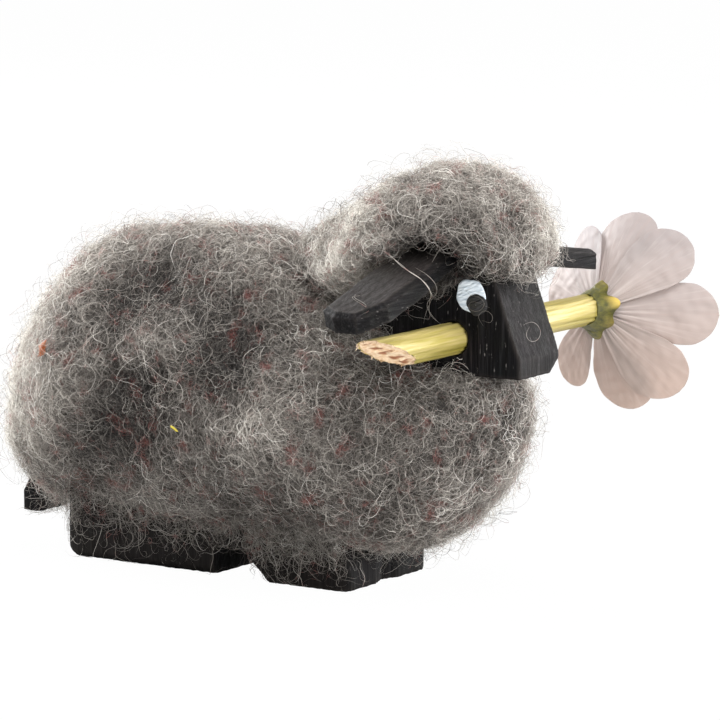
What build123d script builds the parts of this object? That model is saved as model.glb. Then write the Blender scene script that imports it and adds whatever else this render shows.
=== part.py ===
from build123d import *
import math
import os

# A handmade sheep figurine: black-stained wooden blocks wrapped in loose wool,
# with a dried flower whose stem is pushed through a hole across the muzzle.
# Lengths are millimetres. +X is the way the sheep faces, +Y is its left,
# +Z is up. The origin lies under the front foot, in the middle of its sole.

# Shared values
overrun = 1.0
running_clearance = 0.05
soft_clearance = 0.3

# Wooden body block, sawn from one board, with the feet left standing below it
block_depth = 18.0
block_height = 27.0
front_foot_length = 11.7
rear_foot_length = 22.4
foot_gap = 8.4
foot_gap_height = 3.9
foot_gap_rear_lean = 0.6
foot_gap_front_lean = 0.9
hoof_bevel_length = 2.2
hoof_bevel_height = 2.2
heel_radius = 1.7
block_corner_radius = 1.3
toe_hollow = 1.0
toe_hollow_share = 0.6

# Head block, a lath glued on the front end of the body block
head_width = 9.4
head_height = 17.0
head_reach = 21.3
head_seat_length = 9.8
chin_height = 2.3
brow_setback = 5.5
crown_length = 15.5
chin_corner_length = 2.2
chin_corner_height = 1.7

# Painted eyes
eye_diameter = 4.3
eye_setback = 6.7
eye_clearance = 1.1
eye_thickness = 0.2
pupil_diameter = 2.85
pupil_thickness = 0.32
pupil_forward = 0.85
pupil_drop = 1.0
paint_rounding = 0.1
paint_clearance = 0.03

# Ears, laths with a blunt tip, glued to the sides of the head
right_ear_length = 22.4
left_ear_length = 21.8
ear_width = 7.6
ear_thickness = 2.5
ear_setback = 10.2
ear_front_share = 0.42
ear_root_share = 0.6
ear_spread_share = 0.45
ear_cheek_share = 0.93
right_ear_chop_share = 0.82
left_ear_chop_share = 0.97
ear_tip_share = 0.4
ear_edge_chamfer = 0.6
right_ear_root_drop = 2.1
left_ear_root_drop = 3.4
right_ear_clearance = 0.8
left_ear_clearance = 3.3

# Tail, a slat glued to the rear end of the body block
tail_width = 6.0
tail_thickness = 2.6
tail_reach = 11.4
tail_drop = 18.0

# Flower stem through the muzzle
stem_diameter = 4.0
stem_rib_count = 11
stem_rib_depth = 0.16
stem_setback = 9.25
stem_rise = 4.3
stem_near_reach = 18.9
stem_far_reach = 22.3
stem_cut_length = 9.0
stem_cut_turn = 22.0

# Flower, nodding a little on its stem: calyx, two whorls of petals in nested
# cups, and the florets
flower_nod_drop = 1.05
calyx_height = 2.2
calyx_rim_diameter = 5.4
sepal_reach = 3.8
sepal_width = 2.0
sepal_thickness = 0.35
sepal_angles = (92.0, 24.0, -33.0, -92.0, 180.0)
petal_reach = 12.8
petal_root_reach = 1.5
petal_root_width = 1.6
petal_width = 7.5
petal_swell_ratio = 2.0
petal_outline_shares = (0, 0.15, 0.35, 0.55, 0.73, 0.87, 0.96)
petal_thickness = 0.25
petal_gap = 0.2
cup_depth = 8.0
cup_sag = 0.8
florets_diameter = 6.0
florets_height = 1.7
florets_seat_gap = 0.15
petal_angles = (162.0, 121.0, 87.0, 50.0, 2.0, -48.0, -80.0, -128.0)
petal_length_shares = (0.85, 0.94, 0.99, 1.0, 1.015, 1.0, 0.97, 0.94)
petal_width_shares = (0.99, 0.56, 0.99, 1.0, 0.97, 1.04, 0.96, 0.69)

# Wool round the body: how far it stands off the block, and how it swells and
# tapers along its length
wool_over_rear = 8.5
wool_over_chest = 17.7
wool_over_side = 11.2
wool_over_back = 15.6
wool_over_gap = 0.2
fleece_station_shares = (
    *(0, 0.02, 0.087, 0.15, 0.21, 0.28, 0.35, 0.42, 0.49),
    *(0.56, 0.63, 0.7, 0.77, 0.86, 0.926, 0.972, 1),
)
fleece_width_shares = (
    *(0.16, 0.485, 0.72, 0.86, 0.95, 0.985, 1, 1.004, 0.996),
    *(0.98, 0.957, 0.925, 0.884, 0.77, 0.57, 0.38, 0.134),
)
fleece_top_shares = (
    *(0.418, 0.59, 0.82, 0.918, 0.975, 0.994, 1, 0.991, 0.975),
    *(0.955, 0.915, 0.838, 0.727, 0.642, 0.63, 0.61, 0.519),
)
fleece_bottom_shares = (
    *(0.23, 0.07, 0.03, 0.021, 0.017, 0.013, 0.009, 0.005, 0.002),
    *(0.001, 0, 0.001, 0.005, 0.047, 0.153, 0.27, 0.371),
)

# Swells and creases of that wool, one a row: how far along it, the turn round it
# in degrees from its left side over the top, and the height, less than 0 in a crease
fleece_relief_height = 1.6
fleece_relief_size = 5.8
fleece_section_point_count = 16
fleece_relief_shares = (
    (0.1, 200, 0.5),
    (0.15, 232, -0.4),
    (0.22, 184, 0.8),
    (0.22, 133, 0.6),
    (0.31, 149, -0.8),
    (0.4, 136, -0.9),
    (0.41, 110, 0.6),
    (0.36, 164, 0.4),
    (0.41, 176, -0.9),
    (0.39, 190, -1.0),
    (0.3, 199, -1.0),
    (0.24, 232, -0.5),
    (0.46, 166, 0.7),
    (0.56, 163, -0.8),
    (0.56, 148, -0.8),
    (0.66, 182, 0.8),
    (0.67, 130, -0.7),
    (0.63, 145, 0.4),
    (0.54, 106, 0.5),
    (0.58, 230, -0.5),
    (0.78, 186, 0.5),
    (0.84, 205, -0.6),
    (0.92, 205, 0.6),
    (0.12, 60, 0.6),
    (0.2, 20, -0.7),
    (0.3, 75, -0.8),
    (0.33, 35, 0.8),
    (0.37, 0, -0.6),
    (0.45, 60, 0.6),
    (0.47, 20, -0.9),
    (0.55, 80, -0.6),
    (0.6, 40, 0.8),
    (0.66, 5, -0.7),
    (0.7, 65, -0.5),
    (0.76, 30, 0.6),
    (0.83, 350, -0.5),
    (0.9, 20, 0.6),
    (0.28, 330, -0.5),
    (0.5, 335, 0.5),
    (0.2, 345, 0.6),
)

# Wool over the head
cap_length = 29.1
cap_height = 18.3
wool_over_brow = 4.5
wool_over_cheek = 8.9
wool_over_crown = 7.2
cap_station_shares = (0, 0.106, 0.299, 0.478, 0.656, 0.808, 0.924, 1)
cap_width_shares = (0.2, 0.588, 0.897, 1, 0.95, 0.824, 0.596, 0.2)
cap_top_shares = (0.503, 0.62, 0.79, 0.96, 1, 0.91, 0.77, 0.557)
cap_bottom_shares = (0.279, 0.06, 0, 0.03, 0.11, 0.2, 0.25, 0.33)

# Places worked out from the sizes above
front_x = front_foot_length / 2
foot_gap_front_x = -front_foot_length / 2
foot_gap_rear_x = foot_gap_front_x - foot_gap
rear_x = foot_gap_rear_x - rear_foot_length
half_depth = block_depth / 2
half_head = head_width / 2
nose_x = front_x + head_reach
head_seat_x = front_x - head_seat_length
brow_x = nose_x - brow_setback
head_top = block_height + head_height
stem_x = nose_x - stem_setback
stem_height = block_height + stem_rise
stem_radius = stem_diameter / 2
hole_radius = stem_radius + running_clearance
eye_x = nose_x - eye_setback
eye_height = stem_height + hole_radius + eye_clearance + eye_diameter / 2
stem_near_y = -half_head - stem_near_reach
flower_y = half_head + stem_far_reach
stem_end = (stem_x, flower_y, stem_height)
nod = math.asin(flower_nod_drop / cup_depth)
stem_axis = Plane(origin=stem_end, x_dir=(1, 0, 0), z_dir=(0, 1, 0))
flower_axis = Plane(origin=stem_end, x_dir=(1, 0, 0), z_dir=(0, math.cos(nod), -math.sin(nod)))


def side_plate(points, half_width):
    """A plate with this side outline in X and Z, centred on the middle plane."""
    outline = make_face(Polyline(*points, close=True).edges())
    face = Plane.XZ * outline
    return extrude(face, half_width, both=True)


def notch_wedge(points, bottom, top):
    """An upright prism with this outline in X and Y."""
    outline = make_face(Polyline(*points, close=True).edges())
    return extrude(Pos(0, 0, bottom) * outline, top - bottom)


def body_block():
    """The sawn block with its feet, its toes worn a little hollow in front."""
    gap_top_rear_x = foot_gap_rear_x + foot_gap_rear_lean
    bevel_top_x = foot_gap_front_x - hoof_bevel_length
    gap_top_front_x = bevel_top_x - foot_gap_front_lean
    outline = [
        (rear_x, 0),
        (foot_gap_rear_x, 0),
        (gap_top_rear_x, foot_gap_height),
        (gap_top_front_x, foot_gap_height),
        (bevel_top_x, hoof_bevel_height),
        (foot_gap_front_x, 0),
        (front_x, 0),
        (front_x, block_height),
        (rear_x, block_height),
    ]
    block = side_plate(outline, half_depth)
    heel = block.edges().filter_by(Axis.Y).group_by(Axis.Z)[0].sort_by(Axis.X)[0]
    block = fillet(heel, heel_radius)
    corners = block.edges().filter_by(Axis.Z).group_by(Axis.X)
    block = fillet(corners[0] + corners[-1], block_corner_radius)
    hollow_half = half_depth * toe_hollow_share
    hollow = notch_wedge(
        [
            (front_x + overrun, -hollow_half),
            (front_x - toe_hollow, 0),
            (front_x + overrun, hollow_half),
        ],
        -overrun,
        foot_gap_height,
    )
    return block - hollow


def head_block():
    """The muzzle and forehead in one lath, bored across for the stem."""
    chin_z = block_height + chin_height
    crown_rear_x = brow_x - crown_length
    outline = [
        (head_seat_x, block_height),
        (nose_x, block_height),
        (nose_x, chin_z),
        (brow_x, head_top),
        (crown_rear_x, head_top),
        (head_seat_x, chin_z),
    ]
    head = side_plate(outline, half_head)
    chin_corner = make_face(
        Polyline(
            (half_head, block_height),
            (half_head - chin_corner_length, block_height),
            (half_head, block_height + chin_corner_height),
            close=True,
        ).edges()
    )
    chin_cut = extrude(Plane.YZ * chin_corner, nose_x + overrun)
    chin_keep = Pos(brow_x - chin_corner_length, 0, 0) * chin_cut
    hole = stem_axis * Cylinder(hole_radius, 2 * (flower_y - stem_near_y))
    return head - (chin_cut & chin_keep) - hole


def paint_dot(x, z, side, diameter, thickness):
    """A round dab of paint on one side face of the head."""
    face_plane = Plane(origin=(x, side * half_head, z), x_dir=(1, 0, 0), z_dir=(0, side, 0))
    dot = Cylinder(diameter / 2, thickness, align=(Align.CENTER, Align.CENTER, Align.MIN))
    rim = dot.edges().group_by(Axis.Z)[-1]
    return face_plane * chamfer(rim, paint_rounding)


def eye_white(side):
    """The pale dab of an eye, left open where the pupil lies."""
    white = paint_dot(eye_x, eye_height, side, eye_diameter, eye_thickness)
    room = pupil_diameter + 2 * paint_clearance
    return white - paint_dot(eye_x + pupil_forward, eye_height - pupil_drop, side, room, pupil_thickness)


def pupil(side):
    """The dark dab of an eye, set forward and low on the pale one."""
    return paint_dot(eye_x + pupil_forward, eye_height - pupil_drop, side, pupil_diameter, pupil_thickness)


def ear(side, length, chop_share, root_drop, clearance):
    """A flat ear that widens from its root to a blunt tip, lying just clear above the stem."""
    front = -side * ear_width * ear_front_share
    rear = side * ear_width * (1 - ear_front_share)
    outline = make_face(
        Polyline(
            (0, front * ear_root_share),
            (length * ear_spread_share, front),
            (length * chop_share, front),
            (length, front * ear_tip_share),
            (length, rear * ear_tip_share),
            (length * ear_cheek_share, rear * ear_cheek_share),
            (length * ear_spread_share, rear),
            (0, rear * ear_root_share),
            close=True,
        ).edges()
    )
    blank = extrude(outline, ear_thickness / 2, both=True)
    upper_edges = blank.edges().group_by(Axis.Z)[-1].sort_by(Axis.X)[1:]
    blank = chamfer(upper_edges, ear_edge_chamfer)
    root_height = head_top - root_drop
    tip_height = stem_height + stem_radius + clearance + ear_thickness / 2
    slope = math.asin((root_height - tip_height) / length)
    root_plane = Plane(
        origin=(nose_x - ear_setback, side * half_head, root_height),
        x_dir=(0, side * math.cos(slope), -math.sin(slope)),
        z_dir=(0, side * math.sin(slope), math.cos(slope)),
    )
    placed = root_plane * blank
    head_side = Box(4 * head_width, head_width, 2 * head_top, align=(Align.CENTER, Align.CENTER, Align.MIN))
    return placed - Pos(brow_x, 0, 0) * head_side


def tail():
    """A slat that hangs back and down from the top of the rear end."""
    tip_x = rear_x - tail_reach
    tip_z = foot_gap_height
    root_z = tip_z + tail_drop
    outline = [
        (tip_x, tip_z),
        (tip_x + tail_thickness, tip_z),
        (rear_x, root_z - tail_thickness),
        (rear_x, root_z),
        (rear_x - tail_thickness, root_z),
        (tip_x, tip_z + tail_thickness),
    ]
    return side_plate(outline, tail_width / 2)


def oval_rows(start_x, length, width, low, high, stations, widths, tops, bottoms):
    """The upright ovals of a soft form along X: place, half width, middle height, half height."""
    rows = []
    for station, wide, top, bottom in zip(stations, widths, tops, bottoms):
        z_top = low + (high - low) * top
        z_bottom = low + (high - low) * bottom
        half_height = (z_top - z_bottom) / 2
        rows.append((start_x + length * station, width * wide / 2, z_bottom + half_height, half_height))
    return rows


def oval_point(row, turn):
    """A point of one oval, and the direction outward there, at this turn in radians."""
    x, half_width, middle, half_height = row
    across = math.cos(turn) * half_height
    upward = math.sin(turn) * half_width
    scale = math.hypot(across, upward)
    point = Vector(x, half_width * math.cos(turn), middle + half_height * math.sin(turn))
    return point, Vector(0, across / scale, upward / scale)


def smooth_form(rows):
    """A soft form lofted through plain ovals."""
    sections = []
    for x, half_width, middle, half_height in rows:
        plane = Plane(origin=(x, 0, middle), x_dir=(0, 1, 0), z_dir=(1, 0, 0))
        sections.append(plane * Ellipse(half_width, half_height))
    return loft(sections)


def relief_form(rows, relief_shares, stations, height, size, section_point_count):
    """A soft form lofted through ovals that swell and sink round the places given."""
    centres = []
    for station, turn, share in relief_shares:
        after = next(index for index in range(1, len(stations)) if stations[index] >= station)
        part = (station - stations[after - 1]) / (stations[after] - stations[after - 1])
        row = [low + (high - low) * part for low, high in zip(rows[after - 1], rows[after])]
        centres.append((oval_point(row, math.radians(turn))[0], share * height))
    sections = []
    for row in rows:
        points = []
        for index in range(section_point_count):
            point, outward = oval_point(row, 2 * math.pi * index / section_point_count)
            reaches = [((point - centre).length / size, rise) for centre, rise in centres]
            lift = sum(rise * math.exp(-(reach**2)) for reach, rise in reaches)
            points.append(point + outward * lift)
        sections.append(make_face(Spline(*points, periodic=True).edges()))
    return loft(sections)


def body_fleece_form():
    """The outer form of the wool round the body and the chest, with its main swells and creases."""
    start_x = rear_x - wool_over_rear
    rows = oval_rows(
        start_x,
        front_x + wool_over_chest - start_x,
        block_depth + 2 * wool_over_side,
        foot_gap_height + wool_over_gap,
        block_height + wool_over_back,
        fleece_station_shares,
        fleece_width_shares,
        fleece_top_shares,
        fleece_bottom_shares,
    )
    return relief_form(
        rows,
        fleece_relief_shares,
        fleece_station_shares,
        fleece_relief_height,
        fleece_relief_size,
        fleece_section_point_count,
    )


def cap_fleece_form():
    """The outer form of the wool over the crown, the nape and the forehead."""
    cap_top = head_top + wool_over_crown
    rows = oval_rows(
        brow_x + wool_over_brow - cap_length,
        cap_length,
        head_width + 2 * wool_over_cheek,
        cap_top - cap_height,
        cap_top,
        cap_station_shares,
        cap_width_shares,
        cap_top_shares,
        cap_bottom_shares,
    )
    return smooth_form(rows)


def stem_room():
    """The space along its axis that the stem and the wool leave between them."""
    return stem_axis * Cylinder(stem_radius + soft_clearance, 4 * flower_y)


def stem():
    """A ribbed stalk, cut off at a long slant that leans to the front at its free end."""
    ribs = []
    inner = stem_radius - stem_rib_depth
    step = 2 * math.pi / stem_rib_count
    for index in range(stem_rib_count):
        start = index * step
        crest = start + step / 2
        end = start + step
        ribs.append(
            ThreePointArc(
                (inner * math.cos(start), inner * math.sin(start)),
                (stem_radius * math.cos(crest), stem_radius * math.sin(crest)),
                (inner * math.cos(end), inner * math.sin(end)),
            )
        )
    section = make_face(ribs)
    length = flower_y - stem_near_y
    stalk = stem_axis * extrude(section, -length)
    low_z = stem_height - stem_diameter
    high_z = stem_height + stem_diameter
    slant = stem_cut_length / stem_diameter
    cut_low_y = stem_near_y + stem_cut_length / 2 + slant * stem_diameter
    cut_high_y = stem_near_y + stem_cut_length / 2 - slant * stem_diameter
    waste = make_face(
        Polyline(
            (stem_near_y - stem_cut_length, low_z),
            (cut_low_y, low_z),
            (cut_high_y, high_z),
            (stem_near_y - stem_cut_length, high_z),
            close=True,
        ).edges()
    )
    slice_away = extrude(Plane.YZ * waste, 2 * stem_x)
    stem_line = Axis((stem_x, 0, stem_height), (0, 1, 0))
    return stalk - slice_away.rotate(stem_line, -stem_cut_turn)


def cup_shell(start_height, thickness, reach):
    """A thin bowl of revolution, in the flower's own frame, opening along +Z."""
    low = start_height
    high = start_height + cup_depth
    far = reach + overrun
    root = petal_root_reach / 2
    middle = (root + far) / 2
    rise = (high - low) * (far - root) / (petal_reach - root)
    lower = ThreePointArc((root, low), (middle, low + rise / 2 - cup_sag), (far, low + rise))
    upper = Pos(0, thickness) * lower
    profile = make_face([lower, Line(lower @ 1, upper @ 1), upper, Line(upper @ 0, lower @ 0)])
    return revolve(Plane.XZ * profile, Axis.Z)


def petal_outline(reach, width):
    """A petal that widens from its root to a round tip, along +X."""
    sides = []
    for share in petal_outline_shares:
        x = petal_root_reach + (reach - petal_root_reach) * share
        swell = math.sqrt(math.sin(math.pi * share**petal_swell_ratio))
        sides.append((x, petal_root_width / 2 * (1 - share) + width / 2 * swell))
    edge = [*sides, (reach, 0), *[(x, -y) for x, y in reversed(sides)]]
    return make_face([Spline(*edge), Line(edge[-1], edge[0])])


def petal(index):
    """One petal, cut from the inner or the outer cup by turns."""
    inner_whorl = index % 2 == 0
    lift = petal_thickness + petal_gap if inner_whorl else 0
    shell = cup_shell(calyx_height + petal_gap + lift, petal_thickness, petal_reach)
    reach = petal_reach * petal_length_shares[index]
    width = petal_width * petal_width_shares[index]
    outline = petal_outline(reach, width)
    cutter = extrude(outline, calyx_height + 2 * (cup_depth + petal_gap + petal_thickness))
    turned = Rot(0, 0, -petal_angles[index]) * cutter
    return flower_axis * (shell & turned)


def calyx():
    """The green cup at the stem's end, with its pointed sepals."""
    rim = calyx_rim_diameter / 2
    cup = Cone(stem_radius, rim, calyx_height, align=(Align.CENTER, Align.CENTER, Align.MIN))
    shell = cup_shell(calyx_height - sepal_thickness, sepal_thickness, sepal_reach)
    root = sepal_width / 2
    corners = [(0, root), (root, root), (sepal_reach, 0), (root, -root), (0, -root)]
    blade = make_face(Polyline(*corners, close=True).edges())
    cutter = extrude(blade, 2 * (calyx_height + cup_depth))
    for angle in sepal_angles:
        cup += shell & (Rot(0, 0, -angle) * cutter)
    stalk_end = Cylinder(stem_radius, flower_y, align=(Align.CENTER, Align.CENTER, Align.MAX))
    return flower_axis * cup - stem_axis * stalk_end


def florets():
    """The domed middle of the flower, seated in the inner cup of petals."""
    radius = florets_diameter / 2
    inner_top = calyx_height + 2 * (petal_gap + petal_thickness) + florets_seat_gap
    root = petal_root_reach / 2
    share = (radius - root) / (petal_reach + overrun - root)
    rise = cup_depth * (radius - root) / (petal_reach - root) - cup_sag * 4 * share * (1 - share)
    dome_radius = (radius**2 + florets_height**2) / (2 * florets_height)
    half_angle = math.asin(radius / dome_radius) / 2
    top_z = inner_top + rise + florets_height
    shoulder_drop = dome_radius * (1 - math.cos(half_angle))
    profile = make_face(
        [
            Line((0, inner_top), (radius, inner_top + rise)),
            ThreePointArc(
                (radius, inner_top + rise),
                (dome_radius * math.sin(half_angle), top_z - shoulder_drop),
                (0, top_z),
            ),
            Line((0, top_z), (0, inner_top)),
        ]
    )
    return flower_axis * revolve(Plane.XZ * profile, Axis.Z)


def build():
    """Every piece of the figurine by its name, each cut clear of the ones it goes round."""
    pieces = {
        "body_block": body_block(),
        "head_block": head_block(),
        "ear_right": ear(
            -1, right_ear_length, right_ear_chop_share, right_ear_root_drop, right_ear_clearance
        ),
        "ear_left": ear(1, left_ear_length, left_ear_chop_share, left_ear_root_drop, left_ear_clearance),
        "tail": tail(),
        "eye_right": eye_white(-1),
        "eye_left": eye_white(1),
        "pupil_right": pupil(-1),
        "pupil_left": pupil(1),
    }
    hard_pieces = list(pieces.values())
    wrapped = body_fleece_form()
    pieces["fleece_body"] = wrapped - hard_pieces - stem_room()
    pieces["fleece_head"] = cap_fleece_form() - hard_pieces - wrapped - stem_room()
    pieces["stem"] = stem()
    pieces["calyx"] = calyx()
    pieces["florets"] = florets()
    for index in range(len(petal_angles)):
        pieces[f"petal_{index + 1}"] = petal(index)
    return pieces


os.makedirs("parts", exist_ok=True)
for name, shape in build().items():
    export_step(shape, f"parts/{name}.step")
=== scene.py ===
"""Looks for a handmade sheep figurine: black-stained wooden blocks in loose wool, with a
dried flower pushed through its muzzle.

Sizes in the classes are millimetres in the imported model's frame: +X is the way the sheep
faces, +Y its left, +Z up, with the ground at 0. Meshes are written in metres.
"""

import logging
import math
from dataclasses import dataclass, field
from enum import Enum
from typing import Callable, Sequence

import bpy
import numpy as np
from mathutils import Matrix, Vector
from mathutils.bvhtree import BVHTree


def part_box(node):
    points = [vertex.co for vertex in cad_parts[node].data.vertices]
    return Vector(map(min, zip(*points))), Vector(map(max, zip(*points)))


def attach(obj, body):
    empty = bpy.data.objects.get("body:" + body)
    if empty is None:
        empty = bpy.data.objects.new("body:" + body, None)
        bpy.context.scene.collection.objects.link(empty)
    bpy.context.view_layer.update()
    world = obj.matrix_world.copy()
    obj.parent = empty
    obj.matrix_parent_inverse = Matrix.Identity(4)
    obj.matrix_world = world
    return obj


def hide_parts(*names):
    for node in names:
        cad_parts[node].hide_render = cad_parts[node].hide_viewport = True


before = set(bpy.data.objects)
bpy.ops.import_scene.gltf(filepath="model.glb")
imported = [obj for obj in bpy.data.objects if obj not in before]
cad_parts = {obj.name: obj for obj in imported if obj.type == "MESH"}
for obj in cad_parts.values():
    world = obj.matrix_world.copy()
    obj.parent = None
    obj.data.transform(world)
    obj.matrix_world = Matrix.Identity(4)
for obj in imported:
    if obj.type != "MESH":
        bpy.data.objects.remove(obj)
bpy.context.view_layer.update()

MM = 0.001
FULL_TURN = 2 * math.pi
GOLDEN_ANGLE = math.radians(137.508)
BAKE_MAP = "OFBake"
TINY = 1e-6
WHITE = (1.0, 1.0, 1.0, 1.0)

# What a Mix node needs to mix colours: the numbers of its inputs, and its setting.
SHARE, UNDER, OVER = 0, 6, 7
COLOURS = {"data_type": "RGBA"}
SMOOTH = {"interpolation_type": "SMOOTHSTEP"}

log = logging.getLogger("sheep")


class Body(Enum):
    """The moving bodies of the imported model."""

    FIGURINE = "figurine"
    FLOWER = "flower"


class Slot(Enum):
    """The record's material slots."""

    WOOD = "stained_wood"
    FLEECE = "fleece"
    EYE = "eye_white_paint"
    PUPIL = "pupil_paint"
    STEM = "dried_stem"
    CALYX = "dried_calyx"
    PETAL = "dried_petal"
    FLORETS = "dried_florets"


class Grain(Enum):
    """The axis that the grain of a piece runs along."""

    ALONG_Y = 1
    ALONG_Z = 2


def linear(hex_colour: str) -> tuple[float, float, float, float]:
    """Turns an sRGB hex colour into the linear colour that shaders take.

    Args:
        hex_colour: Six hex digits after a hash sign.

    Returns:
        Linear red, green, blue and an alpha of 1.
    """
    levels = [int(hex_colour[i : i + 2], 16) / 255 for i in (1, 3, 5)]
    red, green, blue = (
        level / 12.92 if level <= 0.04045 else ((level + 0.055) / 1.055) ** 2.4 for level in levels
    )
    return red, green, blue, 1.0


def per_mm(size: float) -> float:
    """Gives the texture scale at which one feature of a pattern is size millimetres wide."""
    return 1 / (size * MM)


def along_grain(grain: Grain, width: float, length: float) -> list[float]:
    """Gives the texture scale of a pattern that is drawn out along the grain.

    Args:
        grain: The way the grain runs.
        width: How wide one feature is, in millimetres.
        length: How long it is along the grain.

    Returns:
        Three scales, one an axis.
    """
    return [per_mm(length if axis == grain.value else width) for axis in range(3)]


def add_node(
    tree: bpy.types.NodeTree,
    kind: str,
    inputs: dict | Sequence = (),
    stops: Sequence[tuple[float, str]] = (),
    **settings: object,
) -> bpy.types.Node:
    """Adds one shader node with its settings, its inputs and its links.

    Args:
        tree: The node tree that gets the node.
        kind: The node's type, without the ShaderNode that each one starts with.
        inputs: Values, sockets or nodes to link, in order or by input name or number. A node
            is linked by its first output in use.
        stops: Places and hex colours, for a colour ramp.
        **settings: The node's properties.

    Returns:
        The new node.
    """
    node = tree.nodes.new("ShaderNode" + kind)
    for name, value in settings.items():
        setattr(node, name, value)
    for name, value in inputs.items() if isinstance(inputs, dict) else enumerate(inputs):
        if isinstance(value, bpy.types.Node):
            value = next(socket for socket in value.outputs if socket.enabled)
        if isinstance(value, bpy.types.NodeSocket):
            tree.links.new(value, node.inputs[name])
        else:
            node.inputs[name].default_value = value
    if stops:
        elements = node.color_ramp.elements
        while len(elements) < len(stops):
            elements.new(1.0)
        for element, (place, colour) in zip(elements, stops):
            element.position = place
            element.color = linear(colour)
    return node


def new_material(name: str) -> tuple[bpy.types.Material, bpy.types.NodeTree]:
    """Makes an empty node material.

    Args:
        name: The material's name.

    Returns:
        The material and its node tree.
    """
    material = bpy.data.materials.new(name)
    material.use_nodes = True
    material.node_tree.nodes.clear()
    return material, material.node_tree


@dataclass(frozen=True)
class StainedWood:
    """Pine lath, sawn and dipped in black water stain: the grain and its pale flecks stay visible."""

    name: str = "pine_sawn_black_stain"
    grain: Grain = Grain.ALONG_Z
    dark: str = "#050405"
    body: str = "#0e0d0e"
    light: str = "#2b292a"
    fleck: str = "#86827f"
    # Also laid over some flat faces, partly as wear and partly as painted light.
    worn: str = "#35302d"
    ring_width: float = 0.27
    ring_length: float = 7.0
    blot_size: float = 4.0
    fleck_width: float = 0.3
    fleck_length: float = 1.1
    fleck_share: float = 0.45
    pore_depth: float = 0.13
    sheen_share: float = 0.09
    roughness: float = 0.72
    ior: float = 1.5

    def make(self) -> bpy.types.Material:
        """Builds the material: streaks, pores and flecks run along the grain, and worn edges turn brown.

        The open pores swallow most of the gloss, so the face stays a soft near-black. The worn brown also
        lightens some flat faces, partly as wear and partly as painted light.

        Returns:
            The material.
        """
        material, tree = new_material(self.name)
        place = add_node(tree, "TexCoord").outputs["Object"]
        streak = along_grain(self.grain, self.ring_width, self.ring_length)
        drawn = add_node(tree, "Mapping", {"Vector": place, "Scale": streak})
        rings = add_node(tree, "TexNoise", {"Vector": drawn, "Scale": 1.0, "Detail": 6.0, "Roughness": 0.65})
        stain = add_node(
            tree, "ValToRGB", (rings,), ((0.3, self.dark), (0.52, self.body), (0.74, self.light))
        )
        blot = {"Scale": per_mm(self.blot_size), "Detail": 3.0, "Roughness": 0.6}
        blots = add_node(tree, "TexNoise", {"Vector": place, **blot}).outputs["Color"]
        blotting = {SHARE: 0.5, UNDER: stain, OVER: blots}
        blotted = add_node(tree, "Mix", blotting, blend_type="MULTIPLY", **COLOURS)
        speck = along_grain(self.grain, self.fleck_width, self.fleck_length)
        sparse = add_node(tree, "Mapping", {"Vector": place, "Scale": speck})
        flecks = add_node(tree, "TexNoise", {"Vector": sparse, "Scale": 1.0, "Detail": 2.0, "Roughness": 0.5})
        chosen = add_node(tree, "MapRange", (flecks, 0.68, 0.77, 0.0, self.fleck_share), **SMOOTH)
        flecked = add_node(tree, "Mix", {SHARE: chosen, UNDER: blotted, OVER: linear(self.fleck)}, **COLOURS)
        # The edge share holds worn edges and lighter faces, the faces partly wear and partly painted light.
        edges = add_node(tree, "Attribute", attribute_name="edge").outputs["Fac"]
        wear_and_painted_light = add_node(tree, "Math", (edges, rings), operation="MULTIPLY")
        colour = add_node(tree, "Mix", {SHARE: wear_and_painted_light, UNDER: flecked, OVER: linear(self.worn)}, **COLOURS)
        relief = add_node(tree, "Bump", {"Height": rings, "Distance": self.pore_depth * MM, "Strength": 1.0})
        dull = add_node(tree, "MapRange", (rings, 0.3, 0.7, self.roughness + 0.1, self.roughness - 0.12))
        gloss = {"Roughness": dull, "IOR": self.ior, "Specular IOR Level": self.sheen_share}
        shader = add_node(tree, "BsdfPrincipled", {"Base Color": colour, "Normal": relief, **gloss})
        add_node(tree, "OutputMaterial", {"Surface": shader})
        return material


@dataclass(frozen=True)
class WoolFibre:
    """Carded natural grey wool: each hair has its own shade, and patches lean to brown or pink."""

    name: str = "sheep_wool_carded_grey"
    stops: tuple[tuple[float, str], ...] = (
        (0.0, "#2b2826"),
        (0.3, "#726c66"),
        (0.6, "#a59f97"),
        (0.85, "#cdc8c0"),
        (1.0, "#e8e5de"),
    )
    patch: str = "#8c4f49"
    patch_size: float = 2.6
    patch_share: float = 0.75
    glow_share: float = 0.35
    roughness: float = 0.55
    ior: float = 1.55

    def make(self) -> bpy.types.Material:
        """Builds the material: the hair's shade comes with the mesh, the patches from a noise.

        Light comes through the thin hairs, so the rim of the wool glows against a bright wall.

        Returns:
            The material.
        """
        material, tree = new_material(self.name)
        place = add_node(tree, "TexCoord").outputs["Object"]
        shade = add_node(tree, "Attribute", attribute_name="shade").outputs["Fac"]
        ramp = add_node(tree, "ValToRGB", (shade,), self.stops)
        patch = {"Scale": per_mm(self.patch_size), "Detail": 4.0, "Roughness": 0.7}
        patches = add_node(tree, "TexNoise", {"Vector": place, **patch})
        chosen = add_node(tree, "MapRange", (patches, 0.56, 0.66, 0.0, self.patch_share), **SMOOTH)
        tinted = add_node(tree, "Mix", {SHARE: chosen, UNDER: ramp, OVER: linear(self.patch)}, **COLOURS)
        gloss = {"Roughness": self.roughness, "IOR": self.ior}
        shader = add_node(tree, "BsdfPrincipled", {"Base Color": tinted, **gloss})
        through = add_node(tree, "BsdfTranslucent", {"Color": tinted})
        both = add_node(tree, "MixShader", (self.glow_share, shader, through))
        add_node(tree, "OutputMaterial", {"Surface": both})
        return material


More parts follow.
